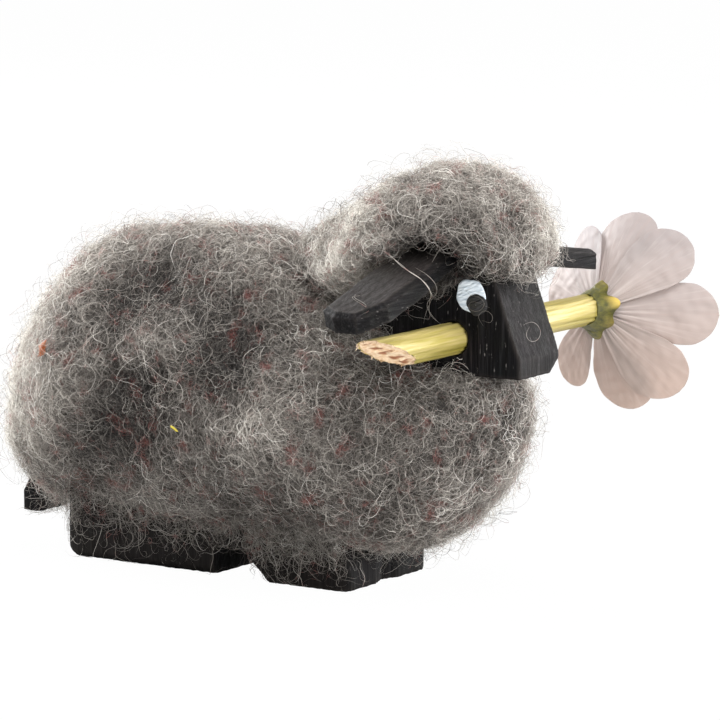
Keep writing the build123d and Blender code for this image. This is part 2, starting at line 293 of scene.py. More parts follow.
@dataclass(frozen=True)
class WoolFelt:
    """The matted wool under the loose hairs: dark, with the hairs drawn as curly lines."""

    name: str = "sheep_wool_matted_grey"
    deep: str = "#2f2c29"
    body: str = "#5d5853"
    hair: str = "#a39e97"
    curl_size: float = 1.3
    clump_size: float = 2.4
    line_share: float = 0.02
    relief: float = 0.25
    roughness: float = 0.85
    ior: float = 1.55

    def make(self) -> bpy.types.Material:
        """Builds the material: level lines of three noises give the curly hairs.

        Returns:
            The material.
        """
        material, tree = new_material(self.name)
        place = add_node(tree, "TexCoord").outputs["Object"]
        lines = []
        for share, offset in ((1.0, 0.0), (0.7, 3.1), (0.5, 7.7)):
            moved = add_node(tree, "Mapping", {"Vector": place, "Location": [offset] * 3})
            curl = {"Scale": per_mm(self.curl_size * share), "Detail": 1.5, "Distortion": 0.8}
            waves = add_node(tree, "TexNoise", {"Vector": moved, **curl})
            off_level = add_node(tree, "Math", (waves, 0.5), operation="SUBTRACT")
            width = add_node(tree, "Math", (off_level,), operation="ABSOLUTE")
            lines.append(add_node(tree, "MapRange", (width, 0.0, self.line_share, 1.0, 0.0)))
        either = add_node(tree, "Math", lines[:2], operation="MAXIMUM")
        hairs = add_node(tree, "Math", (either, lines[2]), operation="MAXIMUM")
        clump = {"Scale": per_mm(self.clump_size), "Detail": 5.0, "Roughness": 0.7}
        clumps = add_node(tree, "TexNoise", {"Vector": place, **clump})
        ground = add_node(tree, "ValToRGB", (clumps,), ((0.35, self.deep), (0.65, self.body)))
        drawn = add_node(tree, "Mix", {SHARE: hairs, UNDER: ground, OVER: linear(self.hair)}, **COLOURS)
        bump = add_node(tree, "Bump", {"Height": hairs, "Distance": self.relief * MM, "Strength": 0.8})
        gloss = {"Roughness": self.roughness, "IOR": self.ior}
        shader = add_node(tree, "BsdfPrincipled", {"Base Color": drawn, "Normal": bump, **gloss})
        add_node(tree, "OutputMaterial", {"Surface": shader})
        return material


@dataclass(frozen=True)
class BrushedPaint:
    """Hobby acrylic dabbed on with a brush: thin at its rim, with faint brush lines."""

    name: str
    thick: str
    thin: str
    stroke_width: float = 0.25
    stroke_length: float = 1.4
    stroke_turn: float = 0.6
    relief: float = 0.05
    roughness: float = 0.5
    ior: float = 1.49

    def make(self) -> bpy.types.Material:
        """Builds the material: the strokes change the colour and stand up a little.

        Returns:
            The material.
        """
        material, tree = new_material(self.name)
        place = add_node(tree, "TexCoord").outputs["Object"]
        brush = {
            "Rotation": [0.0, self.stroke_turn, 0.0],
            "Scale": [per_mm(self.stroke_length), per_mm(1.0), per_mm(self.stroke_width)],
        }
        drawn = add_node(tree, "Mapping", {"Vector": place, **brush})
        strokes = add_node(tree, "TexNoise", {"Vector": drawn, "Scale": 1.0, "Detail": 4.0, "Roughness": 0.6})
        colour = add_node(tree, "ValToRGB", (strokes,), ((0.32, self.thin), (0.6, self.thick)))
        bump = add_node(tree, "Bump", {"Height": strokes, "Distance": self.relief * MM, "Strength": 0.7})
        gloss = {"Roughness": self.roughness, "IOR": self.ior}
        shader = add_node(tree, "BsdfPrincipled", {"Base Color": colour, "Normal": bump, **gloss})
        add_node(tree, "OutputMaterial", {"Surface": shader})
        return material


@dataclass(frozen=True)
class PlantSkin:
    """Dried plant tissue: long fibres in two tones, and a third for an edge, a tip or, on the stem, painted
    shade.
    """

    name: str
    low: str
    high: str
    edge: str
    fibre_width: float = 0.3
    fibre_length: float = 6.0
    grain: Grain = Grain.ALONG_Y
    relief: float = 0.06
    roughness: float = 0.5
    ior: float = 1.42

    def make(self) -> bpy.types.Material:
        """Builds the material: the edge's share comes with the mesh.

        Returns:
            The material.
        """
        material, tree = new_material(self.name)
        place = add_node(tree, "TexCoord").outputs["Object"]
        scale = along_grain(self.grain, self.fibre_width, self.fibre_length)
        drawn = add_node(tree, "Mapping", {"Vector": place, "Scale": scale})
        fibres = add_node(tree, "TexNoise", {"Vector": drawn, "Scale": 1.0, "Detail": 4.0, "Roughness": 0.6})
        colour = add_node(tree, "ValToRGB", (fibres,), ((0.33, self.low), (0.66, self.high)))
        # The third tone's share: an edge or tip, or on the stem mostly painted shade on its underside.
        share = add_node(tree, "Attribute", attribute_name="edge").outputs["Fac"]
        mixed = add_node(tree, "Mix", {SHARE: share, UNDER: colour, OVER: linear(self.edge)}, **COLOURS)
        bump = add_node(tree, "Bump", {"Height": fibres, "Distance": self.relief * MM, "Strength": 0.8})
        gloss = {"Roughness": self.roughness, "IOR": self.ior}
        shader = add_node(tree, "BsdfPrincipled", {"Base Color": mixed, "Normal": bump, **gloss})
        add_node(tree, "OutputMaterial", {"Surface": shader})
        return material


@dataclass(frozen=True)
class PetalSkin:
    """A dried petal: paper-thin, so light comes through, with silky streaks from root to tip."""

    name: str = "dried_petal_pressed"
    pale: str = "#ccc2be"
    cool: str = "#a19a9a"
    warm: str = "#c6b3a7"
    vein: str = "#b59f96"
    crease: str = "#e0d8d4"
    streak_width: float = 0.26
    streak_length: float = 7.0
    tint_scale: float = 9.0
    vein_share: float = 0.25
    silk_share: float = 0.35
    relief: float = 0.03
    see_share: float = 0.45
    roughness: float = 0.5
    ior: float = 1.42

    def make(self) -> bpy.types.Material:
        """Builds the material: fan, along, tint and crease come with the mesh, in millimetres or shares.

        Returns:
            The material.
        """
        material, tree = new_material(self.name)
        fan, along, tint, crease = (
            add_node(tree, "Attribute", attribute_name=name).outputs["Fac"]
            for name in ("fan", "along", "tint", "crease")
        )
        spread = add_node(tree, "CombineXYZ", (fan, along, tint))
        scale = [1 / self.streak_width, 1 / self.streak_length, self.tint_scale]
        drawn = add_node(tree, "Mapping", {"Vector": spread, "Scale": scale})
        silk = {"Scale": 1.0, "Detail": 8.0, "Roughness": 0.7, "Distortion": 0.25}
        streaks = add_node(tree, "TexNoise", {"Vector": drawn, **silk})
        warm, cool = linear(self.warm), linear(self.cool)
        body = add_node(tree, "Mix", {SHARE: tint, UNDER: warm, OVER: cool}, **COLOURS)
        thin = add_node(tree, "MapRange", (streaks, 0.5, 0.3, 0.0, self.vein_share), **SMOOTH)
        dark = add_node(tree, "Mix", {SHARE: thin, UNDER: body, OVER: linear(self.vein)}, **COLOURS)
        silky = add_node(tree, "MapRange", (streaks, 0.52, 0.72, 0.0, self.silk_share), **SMOOTH)
        bright = add_node(tree, "Mix", {SHARE: silky, UNDER: dark, OVER: linear(self.pale)}, **COLOURS)
        colour = add_node(tree, "Mix", {SHARE: crease, UNDER: bright, OVER: linear(self.crease)}, **COLOURS)
        bump = add_node(tree, "Bump", {"Height": streaks, "Distance": self.relief * MM, "Strength": 0.5})
        gloss = {"Roughness": self.roughness, "IOR": self.ior}
        front = add_node(tree, "BsdfPrincipled", {"Base Color": colour, "Normal": bump, **gloss})
        through = add_node(tree, "BsdfTranslucent", {"Color": colour, "Normal": bump})
        both = add_node(tree, "MixShader", (self.see_share, front, through))
        add_node(tree, "OutputMaterial", {"Surface": both})
        return material


@dataclass(frozen=True)
class WaveField:
    """A smooth random field in space: a seeded sum of plane waves, about 1 high at most places."""

    wavelength: float
    seed: int
    waves: int = 28

    def at(self, points: np.ndarray) -> np.ndarray:
        """Gives the field at each point.

        Args:
            points: An array of places in millimetres.

        Returns:
            One number a point, about normal with a spread of 1.
        """
        rng = np.random.default_rng(self.seed)
        directions = rng.normal(size=(self.waves, 3))
        directions /= np.linalg.norm(directions, axis=1)[:, None]
        paces = FULL_TURN / self.wavelength * rng.uniform(0.6, 1.5, self.waves)
        phases = rng.uniform(0, FULL_TURN, self.waves)
        heights = np.sin(points.reshape(-1, 3) @ (directions * paces[:, None]).T + phases)
        return (heights.sum(axis=-1) * math.sqrt(2 / self.waves)).reshape(points.shape[:-1])


def unit(vectors: np.ndarray) -> np.ndarray:
    """Scales each vector to a length of 1."""
    return vectors / np.maximum(np.linalg.norm(vectors, axis=-1, keepdims=True), 1e-9)


def mesh_object(
    name: str,
    points: np.ndarray,
    faces: Sequence[np.ndarray],
    material: bpy.types.Material,
    attributes: dict[str, np.ndarray] | None = None,
    bake_map: np.ndarray | None = None,
) -> bpy.types.Object:
    """Makes a smooth mesh object from arrays.

    Args:
        name: The object's name.
        points: Vertices in millimetres, in a row or a grid.
        faces: Arrays of vertex numbers, each array with one count of corners.
        material: What the mesh wears.
        attributes: Numbers a vertex, by name, for the material.
        bake_map: A place on the unit square for each corner, in the order of the faces.

    Returns:
        The object, in the scene.
    """
    mesh = bpy.data.meshes.new(name)
    points = points.reshape(-1, 3)
    mesh.vertices.add(len(points))
    mesh.vertices.foreach_set("co", (points * MM).astype(np.float32).ravel())
    corners = np.concatenate([group.ravel() for group in faces])
    counts = np.concatenate([np.full(len(group), group.shape[1]) for group in faces])
    mesh.loops.add(len(corners))
    mesh.loops.foreach_set("vertex_index", corners.astype(np.int32))
    mesh.polygons.add(len(counts))
    starts = np.concatenate([[0], np.cumsum(counts)[:-1]])
    mesh.polygons.foreach_set("loop_start", starts.astype(np.int32))
    mesh.update(calc_edges=True)
    mesh.shade_smooth()
    for key, values in (attributes or {}).items():
        layer = mesh.attributes.new(key, "FLOAT", "POINT")
        layer.data.foreach_set("value", values.astype(np.float32).ravel())
    if bake_map is not None:
        layer = mesh.uv_layers.new(name=BAKE_MAP)
        layer.uv.foreach_set("vector", bake_map.astype(np.float32).ravel())
    mesh.materials.append(material)
    thing = bpy.data.objects.new(name, mesh)
    bpy.context.scene.collection.objects.link(thing)
    return thing


def settle(thing: bpy.types.Object, body: Body, slot: Slot, *nodes: str) -> None:
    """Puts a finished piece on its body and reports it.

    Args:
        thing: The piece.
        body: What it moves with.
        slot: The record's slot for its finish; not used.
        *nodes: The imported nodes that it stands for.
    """
    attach(thing, body.value)
    if nodes:
        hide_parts(*nodes)
    log.info("%s on %s, %d vertices", thing.name, body.value, len(thing.data.vertices))


def grid_faces(rows: int, columns: int, closed: bool) -> np.ndarray:
    """Gives the quads of a grid of vertices.

    Args:
        rows: Rows of vertices.
        columns: Vertices a row.
        closed: Whether each row joins up into a ring.

    Returns:
        Four vertex numbers a face.
    """
    spans = columns if closed else columns - 1
    row, column = np.meshgrid(np.arange(rows - 1), np.arange(spans), indexing="ij")
    here = row * columns
    there = here + columns
    after = (column + 1) % columns
    return np.stack([here + column, here + after, there + after, there + column], -1).reshape(-1, 4)


def turns(count: int) -> np.ndarray:
    """Gives evenly spaced angles round a circle, from 0."""
    return np.arange(count) * FULL_TURN / count


def polar(far: np.ndarray | float, turn: np.ndarray, height: np.ndarray | float) -> np.ndarray:
    """Gives places by their distance from an axis, their angle round it and their height."""
    return np.stack(np.broadcast_arrays(far * np.cos(turn), far * np.sin(turn), height), -1)


def corners_mm(node: str) -> tuple[np.ndarray, np.ndarray]:
    """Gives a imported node's lowest and highest corner in millimetres."""
    low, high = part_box(node)
    return np.array(low) / MM, np.array(high) / MM


def node_tree(node: str) -> BVHTree:
    """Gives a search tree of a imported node's faces, in millimetres.

    Args:
        node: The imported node.

    Returns:
        The tree.
    """
    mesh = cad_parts[node].data
    points = [vertex.co / MM for vertex in mesh.vertices]
    return BVHTree.FromPolygons(points, [tuple(face.vertices) for face in mesh.polygons])


@dataclass
class Measures:
    """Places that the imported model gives."""

    block_low: np.ndarray = field(default_factory=lambda: corners_mm("body_block")[0])
    block_high: np.ndarray = field(default_factory=lambda: corners_mm("body_block")[1])
    head_low: np.ndarray = field(default_factory=lambda: corners_mm("head_block")[0])
    head_high: np.ndarray = field(default_factory=lambda: corners_mm("head_block")[1])
    stem_low: np.ndarray = field(default_factory=lambda: corners_mm("stem")[0])
    stem_high: np.ndarray = field(default_factory=lambda: corners_mm("stem")[1])

    @property
    def stem_middle(self) -> np.ndarray:
        """The stem's axis, at the middle of its length."""
        return (self.stem_low + self.stem_high) / 2

    @property
    def stem_radius(self) -> float:
        """The stem's radius over its ribs."""
        return float(self.stem_high[2] - self.stem_low[2]) / 2

    def clear_of_stem(self, points: np.ndarray, gap: float) -> np.ndarray:
        """Moves points out of the way that the stem takes.

        Args:
            points: Places in millimetres.
            gap: How far off the stem they end, at least.

        Returns:
            The places, moved straight out from the stem's axis.
        """
        axis = self.stem_middle[[0, 2]]
        out = points[..., [0, 2]] - axis
        far = np.linalg.norm(out, axis=-1, keepdims=True)
        result = points.copy()
        result[..., [0, 2]] = axis + out / np.maximum(far, TINY) * np.maximum(far, self.stem_radius + gap)
        return result


@dataclass
class OvalForm:
    """The outer form of one wool solid: upright ovals along X, each fitted to a slice of the node."""

    station: np.ndarray
    half_width: np.ndarray
    middle: np.ndarray
    half_height: np.ndarray

    @classmethod
    def measured(cls, node: str, outer: Callable[[np.ndarray], np.ndarray], count: int = 48) -> "OvalForm":
        """Measures a node by slices across X.

        Args:
            node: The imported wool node.
            outer: Says of each point whether it lies on the outer form.
            count: How many slices.

        Returns:
            The form.
        """
        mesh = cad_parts[node].data
        points = np.array([vertex.co for vertex in mesh.vertices]) / MM
        ends = points[np.array([tuple(edge.vertices) for edge in mesh.edges])]
        low, high = points[:, 0].min(), points[:, 0].max()
        inset = 0.02
        least = 8
        turn = np.linspace(0, math.pi, count)
        places = (low + high) / 2 - (high - low - 2 * inset) / 2 * np.cos(turn)
        rows = []
        for x in places:
            side = ends[:, :, 0] - x
            crossing = side[:, 0] * side[:, 1] < 0
            share = side[crossing, 0] / (side[crossing, 0] - side[crossing, 1])
            cut = ends[crossing, 0] + share[:, None] * (ends[crossing, 1] - ends[crossing, 0])
            cut = cut[outer(cut)]
            if len(cut) < least:
                continue
            y, z = cut[:, 1], cut[:, 2]
            level = z.mean()
            terms = np.stack([y**2, (z - level) ** 2, z - level], 1)
            a, b, c = np.linalg.lstsq(terms, np.ones(len(cut)), rcond=None)[0]
            middle = -c / (2 * b)
            size = 1 + b * middle**2
            if a > 0 and b > 0:
                rows.append((x, math.sqrt(size / a), level + middle, math.sqrt(size / b)))
        return cls(*np.array(rows).T)

    def oval(self, x: np.ndarray) -> tuple[np.ndarray, np.ndarray, np.ndarray]:
        """Gives the form's ovals.

        Args:
            x: Places along the form.

        Returns:
            The half width, the middle's height and the half height at each place.
        """
        return (
            np.interp(x, self.station, self.half_width),
            np.interp(x, self.station, self.middle),
            np.interp(x, self.station, self.half_height),
        )

    def level(self, points: np.ndarray) -> np.ndarray:
        """Tells on which side of the form each point lies.

        Args:
            points: Places in millimetres.

        Returns:
            1 on the form, less inside it, more outside, and far_off past its ends.
        """
        far_off = 9.0
        wide, middle, high = self.oval(points[:, 0])
        within = (points[:, 1] / wide) ** 2 + ((points[:, 2] - middle) / high) ** 2
        past = (points[:, 0] < self.station[0]) | (points[:, 0] > self.station[-1])
        return np.where(past, far_off, within)

    def beyond(self, points: np.ndarray) -> np.ndarray:
        """Gives about how many millimetres outside the form each point lies."""
        wide, _, high = self.oval(points[:, 0])
        return (np.sqrt(self.level(points)) - 1) * (wide + high) / 2

    def skin(self, rows: int, columns: int) -> tuple[np.ndarray, np.ndarray]:
        """Gives a grid of points on the form, and their outward directions.

        Args:
            rows: Ovals along the form, closer together towards its ends.
            columns: Points an oval.

        Returns:
            Points and directions, ring by ring, with a few more rings that close both ends.
        """
        turn = np.linspace(0, math.pi, rows)
        first, last = self.station[0], self.station[-1]
        x = (first + last) / 2 - (last - first) / 2 * np.cos(turn)
        wide, middle, high = self.oval(x)
        closing = np.array([0.02, 0.3, 0.6, 0.85])
        bulge = 0.5 * np.sqrt(1 - closing**2)
        x = np.concatenate([x[0] - bulge, x, x[-1] + bulge[::-1]])
        shrink = np.concatenate([closing, np.ones(rows), closing[::-1]])
        ends = len(closing)
        wide, middle, high = (
            np.concatenate([np.full(ends, part[0]), part, np.full(ends, part[-1])])
            for part in (wide, middle, high)
        )
        around = turns(columns)
        y = (wide * shrink)[:, None] * np.cos(around)
        z = middle[:, None] + (high * shrink)[:, None] * np.sin(around)
        points = np.stack([np.repeat(x[:, None], columns, 1), y, z], -1)
        along = np.gradient(points, axis=0)
        across = np.roll(points, -1, 1) - np.roll(points, 1, 1)
        outward = unit(np.cross(across, along))
        outward[0] = (-1, 0, 0)
        outward[-1] = (1, 0, 0)
        return points, outward


@dataclass(frozen=True)
class HairKind:
    """One kind of loose hair: how long, thick and curly it is, and how far it stands off.

    A hair runs through so many points, a step apart. It bends by about curl radians a
    millimetre and stands between low and high off the surface, a wave to each loop. Its shade
    is drawn about the kind's shade, with that spread, from 0, dark, to 1, pale.
    """

    count: int
    points: int
    step: float
    radius: float
    curl: float
    low: float
    high: float
    loop: float
    shade: float
    spread: float


@dataclass
class Hairs:
    """Paths of hairs that wander over a surface, curling as they go."""

    tree: BVHTree
    seed: int

    def feet(self, points: np.ndarray) -> tuple[np.ndarray, np.ndarray]:
        """Finds the nearest place on the surface to each point.

        Args:
            points: Places in millimetres.

        Returns:
            The nearest places, and the directions outward there.
        """
        found = [self.tree.find_nearest(point) for point in points.tolist()]
        places = np.array([hit[0].to_tuple() for hit in found])
        outward = np.array([hit[1].to_tuple() for hit in found])
        return places, outward

    def grow(self, roots: np.ndarray, kind: HairKind) -> tuple[np.ndarray, np.ndarray]:
        """Lets a hair wander from each root.

        Args:
            roots: Where each hair starts, near the surface.
            kind: What the hairs are like.

        Returns:
            The points of each hair, and the directions outward at them.
        """
        rng = np.random.default_rng(self.seed)
        count = len(roots)
        place, outward = self.feet(roots)
        heading = unit(np.cross(outward, rng.normal(size=(count, 3))))
        travel = np.arange(kind.points) * kind.step
        bend = np.zeros((count, kind.points))
        lift = np.zeros((count, kind.points))
        for share in (0.5, 1.0, 2.3):
            pace = FULL_TURN / rng.uniform(3.0, 9.0, (count, 1)) * share
            start = rng.uniform(0, FULL_TURN, (count, 1))
            bend += np.sin(travel * pace + start) * rng.normal(size=(count, 1))
            wave = np.sin(travel * pace * FULL_TURN / kind.loop / 2 + start * 2)
            lift += wave * rng.uniform(0.2, 1, (count, 1))
        tightness = kind.curl * rng.lognormal(0, 0.45, (count, 1))
        bend = bend * tightness + rng.normal(size=(count, 1)) * tightness * 0.7
        lift = (lift - lift.min(1, keepdims=True)) / np.ptp(lift, axis=1)[:, None]
        reach = kind.low + (kind.high - kind.low) * rng.beta(1.3, 1.6, (count, 1))
        height = kind.low + (reach - kind.low) * lift
        path = np.zeros((count, kind.points, 3))
        ups = np.zeros((count, kind.points, 3))
        for index in range(kind.points):
            path[:, index] = place + outward * height[:, index, None]
            ups[:, index] = outward
            angle = (bend[:, index] * kind.step)[:, None]
            sideways = np.cross(outward, heading)
            heading = unit(heading * np.cos(angle) + sideways * np.sin(angle))
            place, fresh = self.feet(place + heading * kind.step)
            outward = unit(outward + 0.5 * fresh)
            heading = unit(heading - outward * (heading * outward).sum(1, keepdims=True))
        return path, ups


def strand_mesh(
    name: str,
    path: np.ndarray,
    ups: np.ndarray,
    radius: np.ndarray,
    shade: np.ndarray,
    sides: int,
    material: bpy.types.Material,
) -> bpy.types.Object:
    """Makes one mesh of many hairs that thin to their ends.

    Args:
        name: The object's name.
        path: Points of each hair.
        ups: A direction across the hair at each point.
        radius: One radius a hair.
        shade: A shade for each point, from 0, dark, to 1, pale.
        sides: 3 for closed three-sided tubes, or 2 for flat strips, which turn as they go.
        material: What the hairs wear.

    Returns:
        The object.
    """
    count, steps, _ = path.shape
    tangent = unit(np.gradient(path, axis=1))
    side = unit(np.cross(tangent, ups))
    up = np.cross(side, tangent)
    along = np.linspace(0, 1, steps)
    taper = np.clip(np.minimum(along, 1 - along) * 6, 0.35, 1)
    thick = (radius[:, None] * taper)[:, :, None, None]
    roll = FULL_TURN * (np.arange(count) * 0.618 % 1)[:, None] + 2.2 * along
    ring = (roll[:, :, None] + np.arange(sides) * FULL_TURN / sides)[..., None]
    out = np.cos(ring) * side[:, :, None] + np.sin(ring) * up[:, :, None]
    points = path[:, :, None] + thick * out
    spans = sides if sides > 2 else 1
    first = (np.arange(count) * steps * sides)[:, None, None]
    row = (np.arange(steps - 1) * sides)[None, :, None]
    turn = np.arange(spans)[None, None, :]
    after = (turn + 1) % sides
    here = first + row
    there = here + sides
    faces = [np.stack([here + turn, there + turn, there + after, here + after], -1).reshape(-1, 4)]
    cells = math.ceil(math.sqrt(count))
    cell = np.stack([np.arange(count) % cells, np.arange(count) // cells], 1)[:, None, None, None]
    low_u = 0.1 + 0.8 * along[:-1]
    high_u = 0.1 + 0.8 * along[1:]
    low_v = 0.15 + 0.7 * np.arange(spans) / spans
    high_v = low_v + 0.7 / spans
    u = np.stack([low_u, high_u, high_u, low_u], -1)[:, None] + np.zeros((1, spans, 1))
    v = np.stack([low_v, low_v, high_v, high_v], -1)[None] + np.zeros((steps - 1, 1, 1))
    maps = [((cell + np.stack([u, v], -1)[None]) / cells).reshape(-1, 2)]
    if sides > 2:
        start = first[:, 0, 0, None]
        faces += [start + np.arange(3), start + (steps - 1) * 3 + np.arange(3)[::-1]]
        for place in (0.05, 0.95):
            small = np.array([[place, 0.2], [place + 0.03, 0.5], [place, 0.8]])
            maps.append(((cell[:, 0, 0] + small[None]) / cells).reshape(-1, 2))
    shades = {"shade": np.repeat(shade.reshape(-1), sides)}
    return mesh_object(name, points, faces, material, shades, np.concatenate(maps))


@dataclass(frozen=True)
class Strand:
    """Hairs placed along a given line of points."""

    points: tuple[tuple[float, float, float], ...]
    radius: float = 0.035
    shade: float = 0.5
    count: int = 1
    scatter: float = 0.0


@dataclass
class Fleece:
    """The wool: matted forms round the body and over the head, under thousands of loose hairs.

    Each of the tones is a place, how far it reaches and how much paler the hairs are there: painted light
    where it is positive, at the rim and round the neck, and painted shade where it is negative, in creases.
    The hem is the cap's lower edge beside the head, as places along X and their heights.
    """

    measures: Measures
    felt_inset: float = 1.4
    fine_height: float = 0.12
    fine_size: float = 1.4
    relief_reach: float = 6.0
    relief_limit: float = 3.2
    relief_passes: int = 3
    lump_height: float = 0.6
    lump_size: float = 6.5
    tuft_height: float = 0.32
    tuft_size: float = 2.6
    body_lumps: float = 0.45
    cap_lift: float = 2.2
    relief_gain: float = 1.3
    # Painted shade and light: hairs darker in creases and at their deeper points, paler on swells.
    painted_crease_shade: float = 0.2
    painted_depth_shade: float = 0.14
    # Painted light and shade: paler patches at the rim and round the neck, darker ones in the creases.
    tones: tuple[tuple[tuple[float, float, float], float, float], ...] = (
        ((-42, -12, 24), 9, 0.5),
        ((-36, -14, 34), 8, 0.14),
        ((4, -13, 36), 7, 0.24),
        ((8, -12, 45), 6, 0.34),
        ((2, -13, 40), 6, 0.2),
        ((-18, -18, 24), 4, -0.16),
        ((-25, -18.5, 18), 4, -0.14),
        ((-6, -18, 26), 4.5, -0.12),
        ((-4.5, -16, 30), 3, -0.1),
        ((-22, -14, 34), 4, -0.12),
        ((22, -14, 13), 6, -0.14),
        ((0, -17, 10), 8, -0.13),
        ((26, -12, 23), 7, -0.2),
        ((24, -6, 42), 7, -0.2),
    )
    tuck: float = 0.6
    hem_roll: float = 1.5
    hem_clear: float = 0.3
    push_depth: float = 2.0
    push_reach: int = 4
    push_room: tuple[float, float] = (0.1, 0.5)
    eye_room: float = 0.9
    hem: tuple[tuple[float, float], ...] = (
        (-4, 30.0), (4, 33.2), (9, 37.0), (12, 41.2), (15.5, 43.2), (19, 43.0), (22, 41.2),
        (24.4, 38.6), (27, 36.6),
    )
    stem_margin: float = 0.45
    floor_gap: float = 0.15
    hang_low: float = 5.0
    hang_top: float = 9.5
    chest_low: float = 4.0
    chest_rear: float = -9.0
    flank_share: float = 0.85
    triangles_a_piece: int = 199_000
    body_kind: HairKind = HairKind(39000, 30, 0.36, 0.0235, 0.85, -1.0, 0.7, 4.0, 0.43, 0.16)
    head_kind: HairKind = HairKind(16000, 30, 0.34, 0.022, 0.95, -0.9, 0.9, 4.0, 0.42, 0.15)
    body_loose_kind: HairKind = HairKind(4200, 30, 0.36, 0.018, 0.8, -0.2, 1.7, 4.5, 0.5, 0.18)
    head_loose_kind: HairKind = HairKind(2600, 30, 0.34, 0.018, 0.95, -0.3, 1.7, 4.5, 0.45, 0.18)
    stray_kind: HairKind = HairKind(2900, 30, 0.38, 0.016, 0.7, 0.0, 3.4, 6.0, 0.5, 0.22)
    wood_kind: HairKind = HairKind(1300, 24, 0.36, 0.02, 0.8, 0.05, 0.8, 5.0, 0.44, 0.2)
    chest_kind: HairKind = HairKind(1200, 22, 0.32, 0.022, 0.95, 0.1, 1.4, 4.0, 0.46, 0.2)
    tail_kind: HairKind = HairKind(1500, 24, 0.34, 0.022, 0.8, 0.1, 1.5, 4.5, 0.5, 0.2)
    strand_steps: int = 8
    strand_passes: int = 26
    strands: tuple[Strand, ...] = (
        Strand(
            (
                (12.5, -14.1, 42.5), (14.1, -13.9, 42.6), (15.1, -13.9, 42.0), (16.6, -14.0, 40.8),
                (18.6, -15.0, 40.3), (20.3, -15.7, 39.9), (21.2, -15.4, 38.7), (20.4, -13.0, 37.4),
                (17.0, -8.6, 36.2), (15.3, -6.2, 35.0), (15.5, -5.2, 33.7), (16.4, -5.1, 33.0),
            ),
            radius=0.03, shade=0.78, count=2, scatter=0.05,
        ),
        Strand(
            (
                (18.7, -14.2, 40.8), (20.4, -14.4, 40.2), (21.2, -13.4, 38.9), (19.4, -10.6, 37.3),
                (16.5, -7.0, 36.4), (14.9, -5.2, 35.1), (14.3, -5.1, 33.9), (14.1, -5.1, 32.9),
            ),
            radius=0.026,
        ),
        Strand(
            (
                (9.2, -13.6, 38.8), (15.0, -21.5, 38.5), (16.9, -23.0, 37.9), (18.1, -24.7, 37.3),
                (19.2, -25.3, 36.4),
            ),
            radius=0.028, shade=0.35, count=2, scatter=0.3,
        ),
        Strand(
            (
                (20.0, -5.3, 37.4), (20.9, -5.4, 36.6), (22.0, -5.5, 36.8), (22.9, -5.3, 36.0),
                (22.3, -5.4, 35.0), (21.0, -5.4, 34.8), (20.4, -5.5, 35.6), (21.2, -5.5, 36.3),
                (23.4, -5.2, 35.4),
            ),
            radius=0.03, shade=0.4,
        ),
        Strand(
            (
                (22.3, -5.2, 33.9), (23.6, -5.2, 33.5), (23.9, -5.2, 34.6), (22.8, -5.3, 35.3),
                (21.6, -5.4, 34.4), (22.5, -5.2, 33.2),
            ),
            radius=0.025, shade=0.35,
        ),
        Strand(
            (
                (25.9, -1.8, 33.2), (26.1, 0.2, 33.6), (26.5, 1.6, 32.3), (26.9, 0.2, 31.2),
                (26.9, -1.9, 31.2), (26.5, -2.4, 32.2), (26.3, -1.0, 32.9),
            ),
            radius=0.03, shade=0.4,
        ),
        Strand(
            (
                (25.8, 4.1, 42.2), (22.5, 12.0, 41.2), (20.7, 18.0, 40.2), (20.6, 16.4, 39.2),
                (20.7, 19.0, 38.2),
            ),
            shade=0.4, count=3, scatter=0.35,
        ),
        Strand(
            (
                (24.5, 6.0, 41.0), (21.0, 12.0, 41.6), (20.5, 14.5, 40.0), (20.6, 12.5, 38.6),
                (22.0, 9.0, 39.5),
            ),
            radius=0.03, shade=0.4, count=4, scatter=0.5,
        ),
    )
    fluff: Strand = Strand(
        (
            (-32.4, -18.3, 28.7), (-32.7, -18.8, 27.9), (-32.3, -18.9, 27.2), (-32.9, -18.4, 27.4),
            (-32.5, -18.6, 28.3),
        ),
        count=26, scatter=0.16,
    )
    straw: Strand = Strand(
        ((-11.9, -20.6, 20.4), (-11.3, -20.8, 20.1), (-10.7, -20.7, 19.8)), radius=0.17, shade=0.6
    )
    orange: tuple[tuple[float, str], ...] = ((0.0, "#a8582c"), (1.0, "#d98a52"))
    yellow: tuple[tuple[float, str], ...] = ((0.0, "#b7a52a"), (1.0, "#e0d25a"))

    def forms(self) -> tuple[OvalForm, OvalForm]:
        """Measures the body's form and the cap's form from their nodes.

        Returns:
            The two forms.
        """
        names = ("body_block", "head_block", "ear_right", "ear_left", "tail", "stem")
        hard = [node_tree(name).find_nearest for name in names]
        clear = 0.36
        apart = 0.05

        def off_wood(points: np.ndarray) -> np.ndarray:
            """Says which points lie on no hard piece."""
            return np.array([all(near(p, clear)[0] is None for near in hard) for p in points.tolist()], bool)

        body = OvalForm.measured("fleece_body", off_wood)

        def off_body(points: np.ndarray) -> np.ndarray:
            """Says which points also lie off the body's form."""
            return off_wood(points) & (np.abs(body.level(points) - 1) > apart)

        return body, OvalForm.measured("fleece_head", off_body)

    def lumps(self, points: np.ndarray) -> np.ndarray:
        """Gives how far the wool swells or sinks.

        Args:
            points: Places in millimetres.

        Returns:
            Millimetres outward at each point.
        """
        wide = WaveField(self.lump_size, 11).at(points)
        small = WaveField(self.tuft_size, 12).at(points)
        return self.lump_height * np.clip(wide, -1.6, 1.2) * 0.6 + self.tuft_height * small * 0.6

